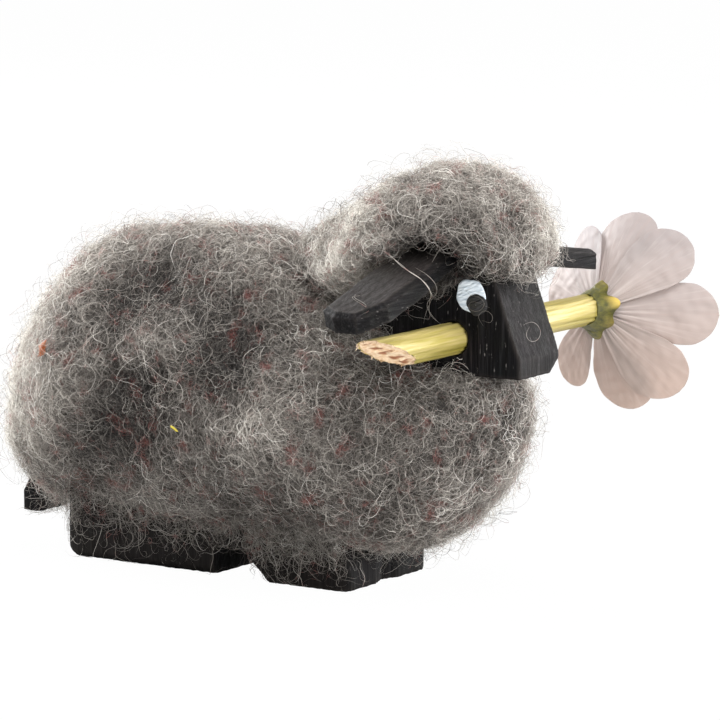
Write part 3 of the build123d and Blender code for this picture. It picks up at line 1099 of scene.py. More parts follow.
    def relief(self, node: str, points: np.ndarray, outward: np.ndarray) -> np.ndarray:
        """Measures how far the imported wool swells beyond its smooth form.

        Args:
            node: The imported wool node.
            points: A grid of points on the form.
            outward: The directions outward at them.

        Returns:
            Millimetres outward at each point, and 0 where the node has no outer face.
        """
        cast = node_tree(node).ray_cast
        starts = (points + outward * self.relief_reach).reshape(-1, 3).tolist()
        ways = (-outward).reshape(-1, 3).tolist()
        found = [cast(start, way, 2 * self.relief_reach)[3] for start, way in zip(starts, ways)]
        swell = np.array([0.0 if far is None else self.relief_reach - far for far in found])
        swell = np.where(np.abs(swell) < self.relief_limit, swell, 0.0).reshape(points.shape[:2])
        for _ in range(self.relief_passes):
            swell = (2 * swell + np.roll(swell, 1, 1) + np.roll(swell, -1, 1)) / 4
            longer = np.concatenate([swell[:1], swell, swell[-1:]])
            swell = (longer[:-2] + 2 * swell + longer[2:]) / 4
        return swell * self.relief_gain

    def over_hem(self, points: np.ndarray) -> np.ndarray:
        """Gives how far above the cap's hem each point lies."""
        x, z = np.array(self.hem).T
        return points[..., 2] - np.interp(points[..., 0], x, z)

    def tucked(self, points: np.ndarray) -> np.ndarray:
        """Turns the wool that would hang below the hem in to the side of the head.

        Args:
            points: Places on the cap.

        Returns:
            The places, turned in over the last soft millimetres above the hem.
        """
        inner = self.measures.head_high[1] - self.tuck
        share = np.sqrt(np.clip(self.over_hem(points) / self.hem_roll, 0, 1))
        wide = np.abs(points[..., 1])
        result = points.copy()
        kept = np.minimum(wide, inner) + np.maximum(wide - inner, 0) * share
        result[..., 1] = np.sign(points[..., 1]) * kept
        return result

    def felt(
        self,
        name: str,
        form: OvalForm,
        rows: int,
        columns: int,
        material: bpy.types.Material,
        node: str,
        lumps: float,
        under_inset: float,
    ) -> tuple[BVHTree, np.ndarray]:
        """Builds one matted form under the hairs.

        Args:
            name: The piece's name.
            form: Its outer form.
            rows: Ovals along it.
            columns: Points an oval.
            material: What it wears.
            node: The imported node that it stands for.
            lumps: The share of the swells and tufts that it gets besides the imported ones.
            under_inset: How much closer it lies where it faces down.

        Returns:
            A search tree of the wool's outer surface, and that surface's points.
        """
        points, outward = form.skin(rows, columns)
        swell = self.relief(node, points, outward).ravel()
        rows = len(points)
        points, outward = points.reshape(-1, 3), outward.reshape(-1, 3)
        level_skin = 0.15
        under = np.clip(-outward[:, 2] - level_skin, 0, 1) * under_inset
        swell = swell + lumps * self.lumps(points) * (1 - 0.5 * np.sign(under)) - under
        surface = points + outward * swell[:, None]
        fine = WaveField(self.fine_size, 13).at(points) * self.fine_height
        sunk = surface - outward * (self.felt_inset + fine)[:, None]
        if under_inset:
            surface, sunk = self.tucked(surface), self.tucked(sunk)
        sunk = self.measures.clear_of_stem(sunk, self.stem_margin)
        faces = grid_faces(rows, columns, True)
        tips = np.stack([sunk[:columns].mean(0), sunk[-columns:].mean(0)])
        ring = np.arange(columns)
        first = np.stack([np.full(columns, rows * columns), (ring + 1) % columns, ring], 1)
        last = np.stack([np.full(columns, rows * columns + 1), ring, (ring + 1) % columns], 1)
        last[:, 1:] += (rows - 1) * columns
        thing = mesh_object(name, np.concatenate([sunk, tips]), [faces, first, last], material)
        tree = BVHTree.FromPolygons(surface.tolist(), faces.tolist())
        settle(thing, Body.FIGURINE, Slot.FLEECE, node)
        return tree, surface.reshape(rows, columns, 3)

    def off_blocks(self, path: np.ndarray, rng: np.random.Generator) -> np.ndarray:
        """Moves points that lie in the side of a block out over its face.

        Args:
            path: The points of each hair.
            rng: Draws how far off the face each hair ends.

        Returns:
            The points, moved.
        """
        result = path.copy()
        size = self.measures
        for low, high in ((size.block_low, size.block_high), (size.head_low, size.head_high)):
            stand = rng.uniform(*self.push_room, (len(path), 1))
            wide = high[1] + stand
            x, y, z = result[..., 0], result[..., 1], result[..., 2]
            within = (x > low[0]) & (x < high[0]) & (z > low[2]) & (z < high[2]) & (np.abs(y) < wide)
            shallow = within & (np.abs(y) > high[1] - self.push_depth)
            result[..., 1] = np.where(shallow, np.sign(y) * wide, y)
        return result

    def off_eyes(self, path: np.ndarray) -> np.ndarray:
        """Tells which hairs leave the white of the eyes in view.

        Args:
            path: The points of each hair.

        Returns:
            True for each hair that no point of lies over an eye.
        """
        low, high = corners_mm("eye_right")
        middle = (low + high) / 2
        size = (high - low) / 2 * self.eye_room
        far = ((path[..., 0] - middle[0]) / size[0]) ** 2 + ((path[..., 2] - middle[2]) / size[2]) ** 2
        return (far > 1).all(1)

    def roots(self, surface: np.ndarray, count: int, rng: np.random.Generator) -> np.ndarray:
        """Scatters points over a grid surface, evenly by area.

        Args:
            surface: The grid's points, ring by ring.
            count: How many to scatter.
            rng: Draws them.

        Returns:
            Places on the surface.
        """
        corner = surface[:-1]
        along = surface[1:] - corner
        across = np.roll(corner, -1, 1) - corner
        area = np.linalg.norm(np.cross(along, across), axis=-1).ravel()
        chosen = rng.choice(len(area), count, p=area / area.sum())
        u, v = rng.random((2, count, 1))
        corner, along, across = (part.reshape(-1, 3)[chosen] for part in (corner, along, across))
        return corner + along * u + across * v

    def coat(
        self,
        name: str,
        tree: BVHTree,
        roots: np.ndarray,
        kind: HairKind,
        material: bpy.types.Material,
        seed: int,
        form: OvalForm | None = None,
    ) -> None:
        """Grows the hairs of one kind and makes their pieces.

        Args:
            name: The start of the pieces' names.
            tree: The surface that the hairs lie on.
            roots: Where they start.
            kind: What they are like.
            material: What they wear.
            seed: Where their random numbers start.
            form: The smooth form that tells creases from swells, for painted shade in the creases, painted
                light on the swells and the tones' painted patches.
        """
        rng = np.random.default_rng(seed)
        path, ups = Hairs(tree, seed + 1).grow(roots, kind)
        shade = rng.normal(kind.shade, kind.spread, (len(path), 1)) + np.zeros((1, kind.points))
        # Painted shade in creases and deeper down, painted light on swells, and the tones' painted patches.
        if form is not None:
            out = form.beyond(path.reshape(-1, 3)).reshape(shade.shape)
            swell = out.mean(1, keepdims=True)
            deep = self.painted_depth_shade * np.clip(out - swell, -1, 1)
            shade += self.painted_crease_shade * np.clip(swell, -1.5, 1.5) + deep
            # The tones: painted light on the rim and neck, painted shade in the creases.
            for place, size, gain in self.tones:
                shade += gain * np.exp(-((path - np.array(place)) ** 2).sum(-1) / size**2)
        reach = self.push_reach
        push = np.pad((self.off_blocks(path, rng) - path)[..., 1], ((0, 0), (reach, reach)), "edge")
        path[..., 1] += np.lib.stride_tricks.sliding_window_view(push, 2 * reach + 1, axis=1).mean(-1)
        kept = self.off_eyes(path)
        path, ups, shade = self.measures.clear_of_stem(path[kept], self.stem_margin), ups[kept], shade[kept]
        path[..., 2] = np.maximum(path[..., 2], self.floor_gap)
        radius = kind.radius * rng.uniform(0.65, 1.35, len(path))
        shade = np.clip(shade, 0, 1)
        triangles = (kind.points - 1) * 2
        pieces = math.ceil(len(path) * triangles / self.triangles_a_piece)
        for index, part in enumerate(np.array_split(rng.permutation(len(path)), pieces)):
            label = f"{name}_{index + 1:02d}"
            thing = strand_mesh(label, path[part], ups[part], radius[part], shade[part], 2, material)
            settle(thing, Body.FIGURINE, Slot.FLEECE)

    def build(self) -> None:
        """Builds the matted forms and all the loose hairs."""
        rng = np.random.default_rng(5)
        body_form, head_form = self.forms()
        felt = WoolFelt().make()
        fibre = WoolFibre().make()
        body_tree, body_surface = self.felt(
            "wool_felt_body", body_form, 150, 300, felt, "fleece_body", self.body_lumps, 0.0
        )
        head_tree, head_surface = self.felt(
            "wool_felt_head", head_form, 100, 200, felt, "fleece_head", 1.0, self.cap_lift
        )

        def shown(points: np.ndarray, other: OvalForm) -> np.ndarray:
            """Keeps the points that lie in neither the other form nor the body block."""
            inside = ((points > self.measures.block_low) & (points < self.measures.block_high)).all(1)
            return points[(other.level(points) > 0.9) & ~inside]

        body_roots = shown(self.roots(body_surface, self.body_kind.count * 2, rng), head_form)
        head_roots = shown(self.roots(head_surface, self.head_kind.count * 2, rng), body_form)
        beside = np.abs(head_roots[:, 1]) > self.measures.head_high[1]
        head_roots = head_roots[(self.over_hem(head_roots) > self.hem_clear) | ~beside]
        body_loose, head_loose = self.body_loose_kind, self.head_loose_kind
        stray = self.stray_kind.count
        for name, tree, roots, kind, seed, form in (
            ("wool_body_mat", body_tree, body_roots[: self.body_kind.count], self.body_kind, 21, body_form),
            ("wool_head_mat", head_tree, head_roots[: self.head_kind.count], self.head_kind, 31, head_form),
            ("wool_body_loose", body_tree, body_roots[-body_loose.count :], body_loose, 41, body_form),
            ("wool_head_loose", head_tree, head_roots[-head_loose.count :], head_loose, 51, head_form),
            ("wool_body_stray", body_tree, body_roots[:stray], self.stray_kind, 61, None),
            ("wool_head_stray", head_tree, head_roots[: stray // 2], self.stray_kind, 71, None),
        ):
            self.coat(name, tree, roots, kind, fibre, seed, form)
        self.hang(fibre)

    def hang(self, material: bpy.types.Material) -> None:
        """Lets single hairs hang over the wood below the wool and beside the eyes.

        Args:
            material: What they wear.
        """
        rng = np.random.default_rng(81)
        low, high = self.measures.block_low, self.measures.block_high
        count = self.wood_kind.count
        ends = (high[0] + 0.5, high[1], self.hang_top)
        roots = rng.uniform((low[0], -high[1], self.hang_low), ends, (count, 3))
        flank = rng.random(count) < self.flank_share
        roots[flank, 1] = np.sign(roots[flank, 1]) * high[1]
        block = node_tree("body_block")
        self.coat("wool_over_feet", block, roots, self.wood_kind, material, 83)
        starts = (self.chest_rear, -high[1], self.chest_low)
        roots = rng.uniform(starts, ends, (self.chest_kind.count, 3))
        roots[:, 1] = np.sign(roots[:, 1]) * high[1]
        self.coat("wool_under_chest", block, roots, self.chest_kind, material, 87)
        low, high = corners_mm("tail")
        low, high = low + (3.5, -0.5, 1.0), high + (0.0, 0.5, 0.0)
        roots = rng.uniform(low, high, (self.tail_kind.count, 3))
        self.coat("wool_over_tail", node_tree("tail"), roots, self.tail_kind, material, 85)
        for index, strand in enumerate(self.strands):
            self.lay(f"wool_strand_{index + 1}", strand, material)
        self.lay("wool_orange_fluff", self.fluff, WoolFibre("sheep_wool_dyed_orange", self.orange).make())
        self.lay("straw_fleck", self.straw, WoolFibre("straw_chaff_dry", self.yellow).make())

    def lay(self, name: str, strand: Strand, material: bpy.types.Material) -> None:
        """Makes the hairs of one placed strand, each a little off its line.

        Args:
            name: The piece's name.
            strand: Where it lies and how thick it is.
            material: What it wears.
        """
        rng = np.random.default_rng(len(name) + len(strand.points))
        knots = np.array(strand.points)
        steps = self.strand_steps * len(knots)
        place = np.linspace(0, len(knots) - 1, steps)
        line = np.stack([np.interp(place, np.arange(len(knots)), column) for column in knots.T], 1)
        for _ in range(self.strand_passes):
            line[1:-1] = (line[:-2] + 2 * line[1:-1] + line[2:]) / 4
        travel = np.linspace(0, len(knots), steps)
        path = np.repeat(line[None], strand.count, 0)
        for wave in (1.0, 2.1):
            swing = rng.normal(0, strand.scatter, (strand.count, 1, 3))
            path = path + swing * np.sin(travel * wave + rng.uniform(0, 6, (strand.count, 1)))[..., None]
        ups = np.zeros_like(path) + np.array([0.2, -0.9, 0.4])
        radius = strand.radius * rng.uniform(0.8, 1.2, strand.count)
        shade = rng.normal(strand.shade, 0.06, (strand.count, 1)).clip(0, 1) + np.zeros((1, steps))
        thing = strand_mesh(name, path, ups, radius, shade, 3, material)
        settle(thing, Body.FIGURINE, Slot.FLEECE)


@dataclass
class WoodenBlocks:
    """The stained blocks: body, head, ears and tail, their sawn faces and worn edges worked out.

    The grains give each block's node, the way its grain runs and how far apart its new vertices are. Each of
    the lighter faces is a block, the way that the face looks and its share of the worn brown: partly wear,
    partly painted light on faces that the lamps fall on.
    """

    measures: Measures
    grains: tuple[tuple[str, Grain, float], ...] = (
        ("body_block", Grain.ALONG_Z, 0.27),
        ("head_block", Grain.ALONG_Z, 0.19),
        ("ear_right", Grain.ALONG_Y, 0.15),
        ("ear_left", Grain.ALONG_Y, 0.15),
        ("tail", Grain.ALONG_Z, 0.16),
    )
    grain_pull: float = 0.09
    relief: float = 0.022
    wear: float = 0.02
    wear_gain: float = 1.8
    bore_gap: float = 0.12
    # Lighter faces: partly worn stain, partly painted light on the head's front, the body's near side and the
    # ears' tops.
    wear_and_painted_light: tuple[tuple[str, tuple[float, float, float], float], ...] = (
        ("head_block", (1.0, 0.0, 0.0), 0.25),
        ("body_block", (0.0, -1.0, 0.0), 0.45),
        ("ear_right", (0.0, 0.0, 1.0), 0.75),
        ("ear_left", (0.0, 0.0, 1.0), 0.75),
    )

    def worn(self, name: str, grain: Grain, grid: float, material: bpy.types.Material) -> None:
        """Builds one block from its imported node: a fine mesh with grain in its faces.

        Args:
            name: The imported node.
            grain: The way its grain runs.
            grid: How far apart its new vertices are.
            material: What it wears.
        """
        copy = bpy.data.objects.new(f"{name}_stained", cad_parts[name].data.copy())
        bpy.context.scene.collection.objects.link(copy)
        finer = copy.modifiers.new("fine_grid", "REMESH")
        finer.mode = "VOXEL"
        finer.voxel_size = grid * MM
        graph = bpy.context.evaluated_depsgraph_get()
        mesh = bpy.data.meshes.new_from_object(copy.evaluated_get(graph))
        copy.modifiers.clear()
        copy.data = mesh
        points, outward = np.empty((2, len(mesh.vertices) * 3), np.float32)
        mesh.vertices.foreach_get("co", points)
        mesh.vertices.foreach_get("normal", outward)
        points = points.reshape(-1, 3).astype(float) / MM
        outward = outward.reshape(-1, 3).astype(float)
        stretched = points.copy()
        stretched[:, grain.value] *= self.grain_pull
        height = self.relief * WaveField(1.0, 901).at(stretched)
        height += self.wear * np.clip(WaveField(2.6, 902).at(points) - 0.6, -0.4, 0.0)
        points += outward * height[:, None]
        if name == "head_block":
            points = self.measures.clear_of_stem(points, self.bore_gap)
        mesh.vertices.foreach_set("co", (points * MM).astype(np.float32).ravel())
        mesh.update()
        mesh.shade_smooth()
        worn = self.roundness(mesh, outward) * self.wear_gain
        # Lighter faces, partly wear and partly painted light.
        for block, way, share in self.wear_and_painted_light:
            if block == name:
                worn += share * np.clip(2.5 * (outward @ np.array(way)) - 1.5, 0, 1)
        worn = np.clip(worn, 0, 1)
        mesh.attributes.new("edge", "FLOAT", "POINT").data.foreach_set("value", worn.astype(np.float32))
        mesh.materials.clear()
        mesh.materials.append(material)
        settle(copy, Body.FIGURINE, Slot.WOOD, name)

    def roundness(self, mesh: bpy.types.Mesh, outward: np.ndarray) -> np.ndarray:
        """Measures how sharply the surface turns at each vertex.

        Args:
            mesh: The block's mesh.
            outward: The direction outward at each vertex.

        Returns:
            One number a vertex, about 0 on a flat face.
        """
        ends = np.empty(len(mesh.edges) * 2, np.int32)
        mesh.edges.foreach_get("vertices", ends)
        ends = ends.reshape(-1, 2)
        turn = np.linalg.norm(outward[ends[:, 0]] - outward[ends[:, 1]], axis=1)
        total, count = np.zeros((2, len(outward)))
        for column in (0, 1):
            np.add.at(total, ends[:, column], turn)
            np.add.at(count, ends[:, column], 1)
        return total / np.maximum(count, 1)

    def build(self) -> None:
        """Builds every block."""
        upright = StainedWood().make()
        across = StainedWood(name="pine_sawn_black_stain_ears", grain=Grain.ALONG_Y).make()
        for name, grain, grid in self.grains:
            self.worn(name, grain, grid, across if grain is Grain.ALONG_Y else upright)


@dataclass
class Eyes:
    """The painted eyes: a crescent of pale blue and a black pupil over it, dabbed on by hand."""

    white: BrushedPaint = BrushedPaint("acrylic_brushed_pale_blue", "#e8f0f7", "#b4c2ce")
    black: BrushedPaint = BrushedPaint("acrylic_brushed_black", "#1b1a1b", "#100f10")
    rings: int = 40
    spokes: int = 160
    ragged: float = 0.045
    ridge: float = 0.035
    pupil_thickness: float = 0.14
    rim_sink: float = 0.03

    def rise(self, x: np.ndarray, z: np.ndarray, node: str, seed: int) -> np.ndarray:
        """Gives how high a dab stands on the wood at each place, and 0 beyond its ragged rim.

        Args:
            x: Places along the head.
            z: Their heights.
            node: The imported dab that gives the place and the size.
            seed: Where its random numbers start.

        Returns:
            Millimetres over the wood.
        """
        low, high = corners_mm(node)
        middle, half = (low + high) / 2, (high - low) / 2
        u, v = (x - middle[0]) / half[0], (z - middle[2]) / half[2]
        far = np.hypot(u, v)
        rim = self.rim(u, v, far, seed)
        dome = np.sqrt(np.clip(1 - (far / rim) ** 4, 0, 1))
        stroke = WaveField(1.6, seed + 1).at(np.stack([x + 0.5 * z, 0 * x, z * 5 - 2.5 * x], -1))
        thick = 2 * half[1] if node.startswith("eye") else self.pupil_thickness
        return (thick + self.ridge * np.clip(stroke, -1.5, 1.5)) * dome

    def rim(self, u: np.ndarray, v: np.ndarray, far: np.ndarray, seed: int) -> np.ndarray:
        """Gives the ragged rim's place in each direction.

        Args:
            u: Places along the head, as shares of the dab's half size.
            v: Their heights, as shares of it.
            far: How far each lies from the dab's middle.
            seed: Where the random numbers start.

        Returns:
            Shares of the dab's half size.
        """
        way = np.stack([u, v, 0 * u], -1) / np.maximum(far, TINY)[..., None]
        return 1 - self.ragged + self.ragged * np.clip(WaveField(1.1, seed).at(way), -2, 1)

    def dab(self, kind: str, side: str, material: bpy.types.Material, seed: int) -> None:
        """Builds one dab on a polar grid, closed onto the wood at its rim.

        Args:
            kind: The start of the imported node's name, eye or pupil.
            side: The end of it, right or left.
            material: Its paint.
            seed: Where its random numbers start.
        """
        node = f"{kind}_{side}"
        low, high = corners_mm(node)
        middle, half = (low + high) / 2, (high - low) / 2
        around = turns(self.spokes)
        u, v = np.cos(around), np.sin(around)
        rim = self.rim(u, v, np.ones(self.spokes), seed)
        share = np.linspace(0.01, 1, self.rings)[:, None] ** 0.8
        x = middle[0] + half[0] * share * (rim * u)[None]
        z = middle[2] + half[2] * share * (rim * v)[None]
        rise = self.rise(x, z, node, seed)
        if kind == "pupil":
            rise += self.rise(x, z, f"eye_{side}", seed - 10)
        rise[-1] = -self.rim_sink
        outward = 1 if side == "left" else -1
        face = high[1] - 2 * half[1] if side == "left" else low[1] + 2 * half[1]
        y = face + outward * rise
        faces = grid_faces(self.rings, self.spokes, True)
        faces = faces if side == "left" else faces[:, ::-1]
        thing = mesh_object(f"{node}_paint", np.stack([x, y, z], -1), [faces], material)
        settle(thing, Body.FIGURINE, Slot.EYE if kind == "eye" else Slot.PUPIL, node)

    def build(self) -> None:
        """Builds both eyes."""
        white = self.white.make()
        black = self.black.make()
        for side, seed in (("right", 700), ("left", 750)):
            self.dab("eye", side, white, seed)
            self.dab("pupil", side, black, seed + 10)


@dataclass
class Flower:
    """The dried flower: ribbed stem with a slant cut, calyx, eight petals and florets.

    Each of the sepals is an angle in degrees, how yellow its tip is and how far it runs out.
    """

    measures: Measures
    cut_length: float = 9.0
    cut_turn: float = math.radians(22)
    ribs: int = 10
    rib_depth: float = 0.14
    pith_half: float = 0.75
    pith_step: float = 1.75
    fray_count: int = 90
    root_length: float = 1.3
    root_sink: float = 0.03
    nod: float = math.asin(1.05 / 8.0)
    petal_count: int = 8
    petal_root: float = 1.5
    root_half: float = 0.8
    petal_thickness: float = 0.13
    fan_radius: float = 9.0
    fan_step: float = 5.0
    calyx_height: float = 2.2
    calyx_rim: float = 2.8
    sepal_reach: float = 3.55
    sepals: tuple[tuple[float, float, float], ...] = (
        (84, 0.15, 1.0),
        (26, 0.95, 0.4),
        (-33, 0.2, 0.25),
        (-90, 0.1, 1.0),
        (180, 0.15, 0.3),
    )
    sepal_spread: float = 22.0
    petal_reach: float = 12.8
    whorl_gap: float = 0.2
    cup_depth: float = 8.0
    cup_sag: float = 0.8
    bud_count: int = 110
    bud_radius: float = 0.33

    def axes(self) -> tuple[np.ndarray, np.ndarray]:
        """Gives the frame that the flower nods in.

        Returns:
            Its origin at the stem's end, and its three directions, one a row.
        """
        middle = self.measures.stem_middle
        end = np.array([middle[0], self.measures.stem_high[1], middle[2]])
        down = (0.0, -math.sin(self.nod), -math.cos(self.nod))
        out = (0.0, math.cos(self.nod), -math.sin(self.nod))
        return end, np.array([(1.0, 0.0, 0.0), down, out])

    def place(self, local: np.ndarray) -> np.ndarray:
        """Turns places in the flower's own frame into places in the model."""
        end, ways = self.axes()
        return end + local @ ways

    def local(self, node: str) -> np.ndarray:
        """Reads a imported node's triangles.

        Args:
            node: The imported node.

        Returns:
            Three corners for each triangle, in the flower's own frame.
        """
        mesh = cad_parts[node].data
        mesh.calc_loop_triangles()
        points = np.array([vertex.co for vertex in mesh.vertices]) / MM
        end, ways = self.axes()
        return ((points - end) @ ways.T)[np.array([tuple(face.vertices) for face in mesh.loop_triangles])]

    def cup(self, radius: np.ndarray) -> np.ndarray:
        """Gives the height of the cup that the petals lie in.

        Args:
            radius: Distances from its middle.

        Returns:
            The height at each distance.
        """
        root = self.petal_root / 2
        share = np.clip((radius - root) / (self.petal_reach + 1 - root), 0, 1.1)
        rise = self.cup_depth * (radius - root) / (self.petal_reach - root)
        return self.calyx_height + self.whorl_gap + rise - self.cup_sag * 4 * share * (1 - share)

    def petal(self, index: int, material: bpy.types.Material) -> None:
        """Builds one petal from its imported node's turn, reach, width and rise: silky, a little crumpled.

        Args:
            index: Which petal, from 0.
            material: What it wears.
        """
        rng = np.random.default_rng(100 + index)
        node = f"petal_{index + 1}"
        faces = self.local(node)
        area = np.linalg.norm(np.cross(faces[:, 1] - faces[:, 0], faces[:, 2] - faces[:, 0]), axis=1)
        centre = (faces.mean(1) * area[:, None]).sum(0) / area.sum()
        turn = math.atan2(-centre[1], centre[0])
        turned = np.array([[math.cos(turn), -math.sin(turn)], [math.sin(turn), math.cos(turn)]])
        corner = faces.reshape(-1, 3)
        flat = corner[:, :2] @ turned.T
        reach, half = flat[:, 0].max(), np.abs(flat[:, 1]).max() - 0.28 * self.root_half
        rise = np.polyfit(np.hypot(flat[:, 0], flat[:, 1]), corner[:, 2], 2)
        rows, columns = 110, 91
        along = np.linspace(0.0, 1.0, rows)
        across = np.linspace(-1, 1, columns)
        wide = self.root_half * (1 - along) + half * np.sqrt(np.sin(math.pi * along**2).clip(0))
        wobble = 1 + 0.008 * WaveField(0.9, 200 + index).at(np.stack([along, along, along], 1) * 3)
        x = self.petal_root + (reach - self.petal_root) * along[:, None] + 0 * across[None]
        y = (wide * wobble)[:, None] * across[None]
        radius = np.hypot(x, y)
        fan = np.arctan2(y, x)
        along = along[:, None]
        place = np.stack([x, y, 0 * x], -1)
        rays = polar(self.fan_radius, fan, x * 0.05)
        crumple = 0.09 * WaveField(4.5, 300 + index).at(place) + 0.03 * WaveField(1.5, 400 + index).at(place)
        pleat = 0.014 * WaveField(0.7, 500 + index).at(rays) * np.clip(1.25 - along, 0, 1)
        fold = WaveField(1.5, 600 + index).at(rays)
        edge = 0.3 * (1 if index % 2 == 0 else -0.6) * (across[None] ** 2) * np.sin(math.pi * along)
        z = np.polyval(rise, radius) + (crumple * (along * 2).clip(0, 1) + pleat)
        z = z + edge + 0.07 * fold * np.clip(1 - along * 2, 0, 1)
        sheet = np.stack([x, y], -1) @ turned
        points = self.place(np.concatenate([sheet, z[..., None]], -1))
        lit = np.clip((points[..., 2] - 18) / 22, 0, 1) * 0.8 + rng.uniform(0, 0.2)
        crease = np.clip(fold - 0.2, 0, 1) * np.clip(0.9 - along * 1.7, 0, 1) * 0.8
        width = fan * self.fan_radius + self.fan_step * index
        marks = {"fan": width, "along": x, "tint": lit, "crease": crease}
        thing = mesh_object(f"{node}_dried", points, [grid_faces(rows, columns, False)], material, marks)
        body = thing.modifiers.new("thickness", "SOLIDIFY")
        body.thickness = self.petal_thickness * MM
        body.offset = 0
        settle(thing, Body.FLOWER, Slot.PETAL, node)

    def stem(self) -> None:
        """Builds the stem with its soft ribs, and the pith and frayed fibres of its slant cut."""
        skin = PlantSkin("dried_stem_ribbed", "#968b42", "#b19f6d", "#7b702c", 0.28, 9.0).make()
        pith = PlantSkin("dried_stem_cut_pith", "#bf9c78", "#dcc7a9", "#865436", 0.45, 0.9).make()
        middle = self.measures.stem_middle
        near = self.measures.stem_low[1]
        far = self.measures.stem_high[1]
        radius = self.measures.stem_radius
        rows, columns = 220, 150
        around = turns(columns)
        start = near + self.cut_length / 2 * (1 - np.sin(around - self.cut_turn))
        circle = np.stack([np.cos(around), 0 * around, np.sin(around)], 1)
        start = start + 0.12 * WaveField(0.25, 70).at(circle)
        share = np.linspace(0, 1, rows)[:, None]
        y = start[None] + share * (far - start[None])
        ring = np.stack([np.cos(around)[None] * 3 + 0 * y, y * 0.1, np.sin(around)[None] * 3 + 0 * y], -1)
        rough, wander, depth = (WaveField(*wave).at(ring) for wave in ((0.8, 71), (3.0, 72), (2.2, 73)))
        deep = np.clip(0.75 + 0.4 * depth, 0.15, 1.2)
        ribs = 0.5 + 0.5 * np.cos((around[None] + 0.12 * np.sin(y / 17)) * self.ribs + 1.1 * wander)
        r = radius - self.rib_depth * deep * (1 - ribs**0.7) - 0.03 * np.clip(rough + 1, 0, 2)
        root = np.clip((y - far + self.root_length) / self.root_length, 0, 1)
        r = r - self.root_sink * root**2
        points = np.stack([middle[0] + r * np.cos(around), y, middle[2] + r * np.sin(around)], -1)
        # Painted shade: the darker third tone covers the stem's underside; it also darkens the rib grooves,
        # wanders at random and deepens where the stem sinks into the calyx.
        under = np.clip(0.25 - 0.75 * np.sin(around), 0, 1)[None]
        tone = np.clip(0.35 * (1 - ribs) * deep + 0.8 * under + 0.12 * wander + root, 0, 1)
        faces = grid_faces(rows, columns, True)[:, ::-1]
        stalk = mesh_object("stem_dried", points, [faces], skin, {"edge": tone})
        settle(stalk, Body.FLOWER, Slot.STEM, "stem")
        rings = 22
        share = np.linspace(0.985, 0.02, rings)[:, None]
        x = middle[0] + (points[0, :, 0] - middle[0])[None] * share
        z = middle[2] + (points[0, :, 2] - middle[2])[None] * share
        high = (z - middle[2]) * math.cos(self.cut_turn) - (x - middle[0]) * math.sin(self.cut_turn)
        y = near + self.cut_length / 2 * (1 - high / radius)
        face = np.stack([x, y, z], -1)
        torn = WaveField(1.3, 81).at(face)
        face[..., 1] += 0.2 + 0.13 * torn * (1 - share**6)
        side = (x - middle[0]) * math.cos(self.cut_turn) + (z - middle[2]) * math.sin(self.cut_turn)
        seat = np.exp(-((side / self.pith_half) ** 4))
        stray = WaveField(1.5, 83).at(face)
        beads = (0.5 + 0.5 * np.cos(y * FULL_TURN / self.pith_step + stray)) ** 2
        spots = np.clip(1.6 * seat * beads - 0.25 + 0.15 * stray, 0, 1)
        faces = grid_faces(rings, columns, True)[:, ::-1]
        cut = mesh_object("stem_cut_face", face, [faces], pith, {"edge": spots})
        settle(cut, Body.FLOWER, Slot.STEM)
        self.fray(points[0], pith)

    def fray(self, rim: np.ndarray, material: bpy.types.Material) -> None:
        """Builds the short torn fibres round the cut's rim.

        Args:
            rim: The points of the rim.
            material: What the fibres wear.
        """
        rng = np.random.default_rng(91)
        foot = rim[rng.integers(0, len(rim), self.fray_count)]
        count, steps = len(foot), 6
        inward = self.measures.stem_middle[None] - foot
        inward[:, 1] = 0
        way = unit(np.array([[0, -1, 0]]) + rng.normal(0, 0.35, (count, 3)) + 0.12 * inward)
        length = rng.uniform(0.1, 0.42, (count, 1, 1))
        share = np.linspace(-0.3, 1, steps)[None, :, None]
        sag = rng.normal(0, 0.12, (count, 1, 3)) * share**2
        path = foot[:, None] + 0.06 * unit(inward)[:, None] + way[:, None] * length * share + sag
        ups = np.zeros_like(path) + unit(inward)[:, None]
        radius = rng.uniform(0.03, 0.07, count)
        thing = strand_mesh("stem_frayed_fibres", path, ups, radius, np.ones((count, steps)), 3, material)
        settle(thing, Body.FLOWER, Slot.STEM)

    def calyx(self) -> None:
        """Builds the calyx: a fleshy ring that runs out into soft lobes."""
        tones = ("#2a2b07", "#545012", "#c7ab55")
        skin = PlantSkin("dried_calyx_olive", *tones, 0.4, 1.4, roughness=0.55).make()
        rows, columns = 30, 240
        around = turns(columns)
        inner, outer = self.calyx_rim * 0.95, self.sepal_reach * 1.06
        reach = np.full(columns, inner)
        ripe = np.zeros(columns)
        for angle, yellow, size in self.sepals:
            off = np.abs((np.degrees(around) - angle + 180) % 360 - 180) / self.sepal_spread
            lobe = np.where(off < 1, np.cos(np.clip(off, 0, 1) * math.pi / 2) ** 1.2, 0)
            reach = np.maximum(reach, inner + (outer - inner) * lobe * size)
            ripe = np.maximum(ripe, yellow * lobe)
        reach = reach + 0.1 * WaveField(1.2, 92).at(polar(self.calyx_rim, around, 0.0))
        share = np.linspace(0, 1, rows)[:, None]
        stem_radius = self.measures.stem_radius
        hole = stem_radius * 0.97
        radius = hole + share * (reach[None] - hole)
        place = polar(radius, around, 0.0)
        lumpy = 0.16 * WaveField(1.8, 93).at(place) + 0.06 * WaveField(0.6, 94).at(place)
        front = self.cup(radius) - self.whorl_gap + 0.02
        thick = 0.3 + (1.15 + lumpy) * np.sin(np.clip(share * 0.94 + 0.06, 0, 1) * math.pi) ** 0.8
        flare = np.clip((radius - stem_radius) / (self.calyx_rim - stem_radius), 0, 1.6)
        wall = self.calyx_height * flare**0.8
        back = np.minimum(wall - 0.35 + lumpy * 0.5, front - thick)
